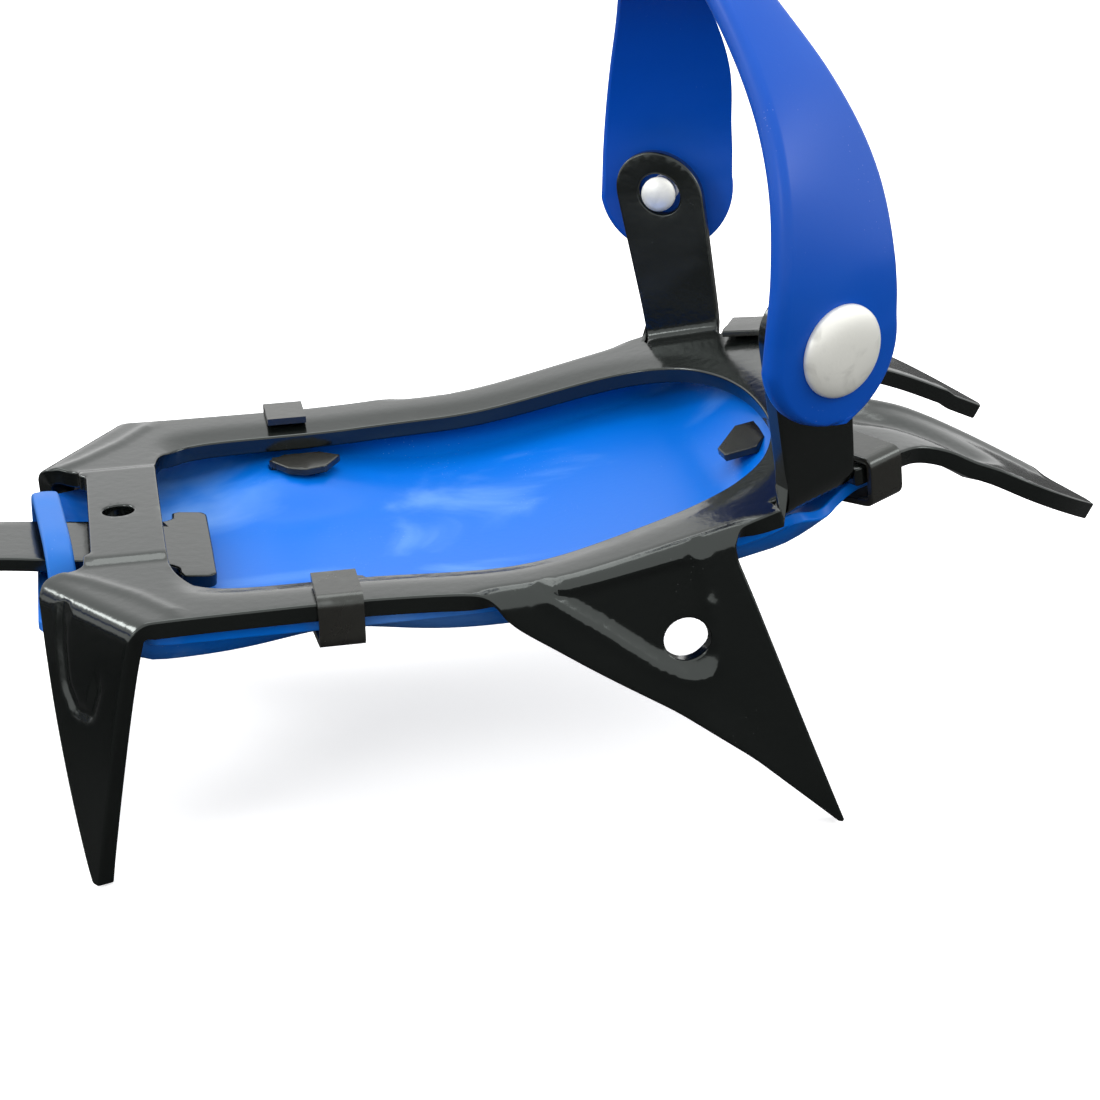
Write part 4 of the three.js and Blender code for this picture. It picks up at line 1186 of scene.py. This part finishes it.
# Heel frame: a level sheet with four points and two posts.
heelFrame = {"thickness": 3.0, "spacing": 1.8, "bevel": 0.42, "half": 36.0, "rail": 12.5, "lipDrop": 0.7}
heelFrontCorner = cornerFold(-94.2, 30.2, math.atan2(0.6, -0.8) - math.pi, lambda x, y, u, w: x > -108)
heelRearCorner = cornerFold(-184.6, 21.5, math.atan2(0.86, 0.51), lambda x, y, u, w: x < -172)
heelPost = {"footHalf": 7.0, "headRadius": 7.8, "headCentre": 34.0, "relief": 0.7, "hole": 3.7}
heelPostFold = {
    "origin": (-158.0, 32.4), "along": (1.0, 0.0), "out": (0.0, 1.0), "angle": math.pi / 2 - math.atan(0.12),
    "radius": 1.6, "upwards": True, "owns": lambda x, y, u, w: abs(u) < (7.35 if w < 3.7 else 8.4),
}


def level(x):
    return 0.0


heelHalf = heelFrame["half"]
heelSide = (
    [(-88, 0), (-88, 16), (-87.4, 21, 2)]
    + cornerSpots(heelFrontCorner, level, False)
    + [(-106, 36.2, 2), (-112, heelHalf), (-148, heelHalf)]
    + reliefSpots(heelPostFold, heelPost, 3.6, 1)
    + postSpots(heelPostFold, level, heelPost)[::-1]
    + reliefSpots(heelPostFold, heelPost, 3.6, -1)[::-1]
    + [(-170, 35.6, 3), (-177, 33, 2)]
    + cornerSpots(heelRearCorner, level, False)
    + [(-190.2, 10, 2), (-190, 0)])
inner = heelHalf - heelFrame["rail"]
heelOpening = [
    (-105, 0), (-105, inner - 5), (-110, inner), (-167, inner), (-173.5, inner - 6), (-176, inner - 14),
    (-176, 0)]
heelLip = softOutline(bothSides(heelOpening), 5)
heelHoles = [heelLip, circle(-96, 0, 3.3)]
heelHoles += [postHole(heelPostFold, level, heelPost, side) for label, side in sides]


# The pressed lip stops where the bar passes under the frame.
def pressHeel(points):
    lip = np.exp(-((nearest(points, heelLip, True) / 3.0) ** 2))
    return -heelFrame["lipDrop"] * lip * np.clip((np.abs(points[:, 1]) - 11) / 3, 0, 1)


def nearHeelFolds(points):
    x, y = points[:, 0], np.abs(points[:, 1])
    front = (x > -108) & (np.abs((x + 94.2) * 0.6 + (y - 30.2) * 0.8) < 4.5)
    rear = (x < -172) & (np.abs((x + 184.6) * -0.86 + (y - 21.5) * 0.51) < 4.5)
    return front | rear | ((np.abs(x + 158) < 10) & (np.abs(y - 32.4) < 3.5))


thickSheet("heelFrame", softOutline(bothSides(heelSide), 5), heelHoles,
           lambda x, y: folded([heelFrontCorner, heelRearCorner, heelPostFold], level, x, y), heelFrame,
           paint, "heel_section", ["heel_frame"], pressHeel, nearHeelFolds)
heelTray = {"thickness": 1.8, "spacing": 2.4, "bevel": 0.35}


def heelTrayTop(x, y):
    across = abs(y)
    return -4.0 - 4.5 * (1 - smoothStep(across, 20, 31)) - 1.4 * max(0.0, 1 - (across / 20) ** 2)


heelTraySide = [(-108, 0), (-108, 34.6, 2)]
heelTraySide += [(x, 34.6 - 8 * smoothStep(-x, 160, 176)) for x in range(-114, -174, -6)]
heelTraySide += [(-174.8, 26.8, 2), (-174.8, 0)]
thickSheet("heelTray", softOutline(bothSides(heelTraySide), 3), [], heightPlace(heelTrayTop), heelTray,
           trayBlue, "heel_section", ["heel_snow_tray"])
for label, side in sides:
    for end, x in (("front", -118), ("rear", -142)):
        bentStrip(f"heel{label.title()}{end.title()}Clip", clipPath(5.5, 0, False),
                  clipPlace(x, heelHalf, 0, side), "heel_section", [f"heel_{label}_{end}_clip"])
print("heel section made")

# Heel harness: a band round the heel with slotted ears for the strap.
heelUp = Vector((0, 0.12, 1)).normalized()
heelOut = Vector((0, 1, -0.12)).normalized()
heelRivet = Vector((-158, 35.4, 0)) + heelUp * (heelPost["headCentre"] / heelUp.z)
heelArm = heelRivet + heelOut * (harness["standOff"] + harness["thickness"] / 2)
heelRows = [
    (*heelArm, harness["startWidth"], 1, 0, 0), (-160, 43.2, 46, 23, 1, 0, 0.15),
    (-169, 43, 56.5, 20.5, 0.72, 0, 0.7), (-184, 37, 62, 19, 0.1, 0, 1), (-198, 20, 64.5, 18, 0, 0, 1),
    (-203.3, 0, 65, 18, 0, 0, 1)]
leftBand = roundEnd(heelArm, heelUp, Vector((1, 0, 0))) + bandRings(heelRows, heelUp, 10)
loft("heelHarness", mirrored(leftBand), harnessBlue, "heel_harness", ["heel_harness"])
ear = {
    "thickness": 4.0, "spacing": 2.0, "bevel": 1.0, "outerY": 45.1,
    "outline": [(-170, 46), (-151, 50), (-147.5, 54), (-147.5, 78), (-150.5, 81.5), (-165, 81.5), (-169, 78),
                (-178, 64)],
    "slot": [(-160, 55), (-154, 55), (-154, 77), (-160, 77)],
}


# Ears stand upright: the drawing's second number is the height.
def earPlace(side):
    return lambda x, z: (Vector((x, side * ear["outerY"], z)), Vector((0, side, 0)))


for label, side in sides:
    thickSheet(f"{label}Ear", softOutline(ear["outline"], 3), [softOutline(ear["slot"], 1)], earPlace(side),
               ear, harnessBlue, "heel_harness")
    addRivet(f"heel{label.title()}Rivet", heelRivet, heelOut, side, "heel_harness", f"heel_rivet_{label}")

# Lugs that carry the buckle's pin. Tops are the heights of their upper faces.
lug = {
    "thickness": 4.0, "spacing": 1.2, "bevel": 0.5, "tops": {"lower": 55.8, "upper": 80.2},
    "hole": (-141.6, 44.4, 1.9),
    "outline": [(-149.5, 41.2), (-143, 40.5), (-139.6, 40.5), (-138.6, 43.1), (-138.6, 45.7), (-140, 47.4),
                (-143.2, 47.4), (-149.5, 45.2)],
}
for label, top in lug["tops"].items():
    thickSheet(f"{label}Lug", softOutline(lug["outline"], 1.2), [circle(*lug["hole"], 20)], levelPlace(top),
               lug, harnessBlue, "heel_harness")
print("heel harness made")

# The small metal pieces keep their frame shape and take a better finish.
for name in ("buckle_pin", "strap_buckle", "clamp_screw", "clamp_washer", "clamp_wing_nut"):
    node = frame["nodes"][name]
    node.data.materials.clear()
    node.data.materials.append(zincSteel)
print("small metal pieces finished")

# Pale floor, an even white surround and soft light from above, from both sides and from the far left.
studio = {
    "floorColour": (0.9, 0.9, 0.9), "floorGlow": 0.5, "floorBounce": (0.07, 0.07, 0.07), "surround": 1.35,
    "floorSize": 12, "floorZ": -0.0002, "aim": (0.05, 0, 0.05),
    "lights": {
        "overheadSoftbox": {"place": (0.1, 0.45, 1.1), "size": 0.7, "power": 4.0},
        "leftSoftbox": {"place": (-0.9, -0.75, 0.75), "size": 0.35, "power": 2.6},
        "rearSoftbox": {"place": (-0.8, 0.4, 0.75), "size": 0.28, "power": 3.2},
        "rightSoftbox": {"place": (1.1, -0.35, 0.7), "size": 0.35, "power": 2.6},
    },
}


# The floor looks pale but throws little light back up, so the undersides stay dark.
def makeFloorMaterial(look):
    material, tree, shader = newMaterial("paleFloor")
    shader.inputs["Base Color"].default_value = (*look["floorColour"], 1)
    shader.inputs["Roughness"].default_value = 0.9
    shader.inputs["Specular IOR Level"].default_value = 0.0
    shader.inputs["Emission Color"].default_value = (1, 1, 1, 1)
    shader.inputs["Emission Strength"].default_value = look["floorGlow"]
    dim = addNode(tree, "ShaderNodeBsdfDiffuse")
    dim.inputs["Color"].default_value = (*look["floorBounce"], 1)
    seen = addNode(tree, "ShaderNodeLightPath").outputs["Is Camera Ray"]
    mixed = addNode(tree, "ShaderNodeMixShader")
    tree.links.new(seen, mixed.inputs[0])
    tree.links.new(dim.outputs[0], mixed.inputs[1])
    tree.links.new(shader.outputs[0], mixed.inputs[2])
    tree.links.new(mixed.outputs[0], tree.nodes["Material Output"].inputs["Surface"])
    return material


def addStudio(look):
    bpy.ops.mesh.primitive_plane_add(size=look["floorSize"], location=(0, 0, look["floorZ"]))
    floor = bpy.context.object
    floor.name = "paleFloor"
    floor.data.materials.append(makeFloorMaterial(look))
    world = bpy.data.worlds.new("studio")
    world.use_nodes = True
    background = world.node_tree.nodes["Background"]
    background.inputs["Color"].default_value = (1, 1, 1, 1)
    background.inputs["Strength"].default_value = look["surround"]
    bpy.context.scene.world = world
    for name, lamp in look["lights"].items():
        data = bpy.data.lights.new(name, "AREA")
        data.size = lamp["size"]
        data.energy = lamp["power"]
        light = bpy.data.objects.new(name, data)
        light.location = lamp["place"]
        aim = Vector(look["aim"]) - light.location
        light.rotation_euler = aim.to_track_quat("-Z", "Y").to_euler()
        bpy.context.scene.collection.objects.link(light)
    bpy.context.scene.view_settings.view_transform = "Standard"


addStudio(studio)
print("studio made")
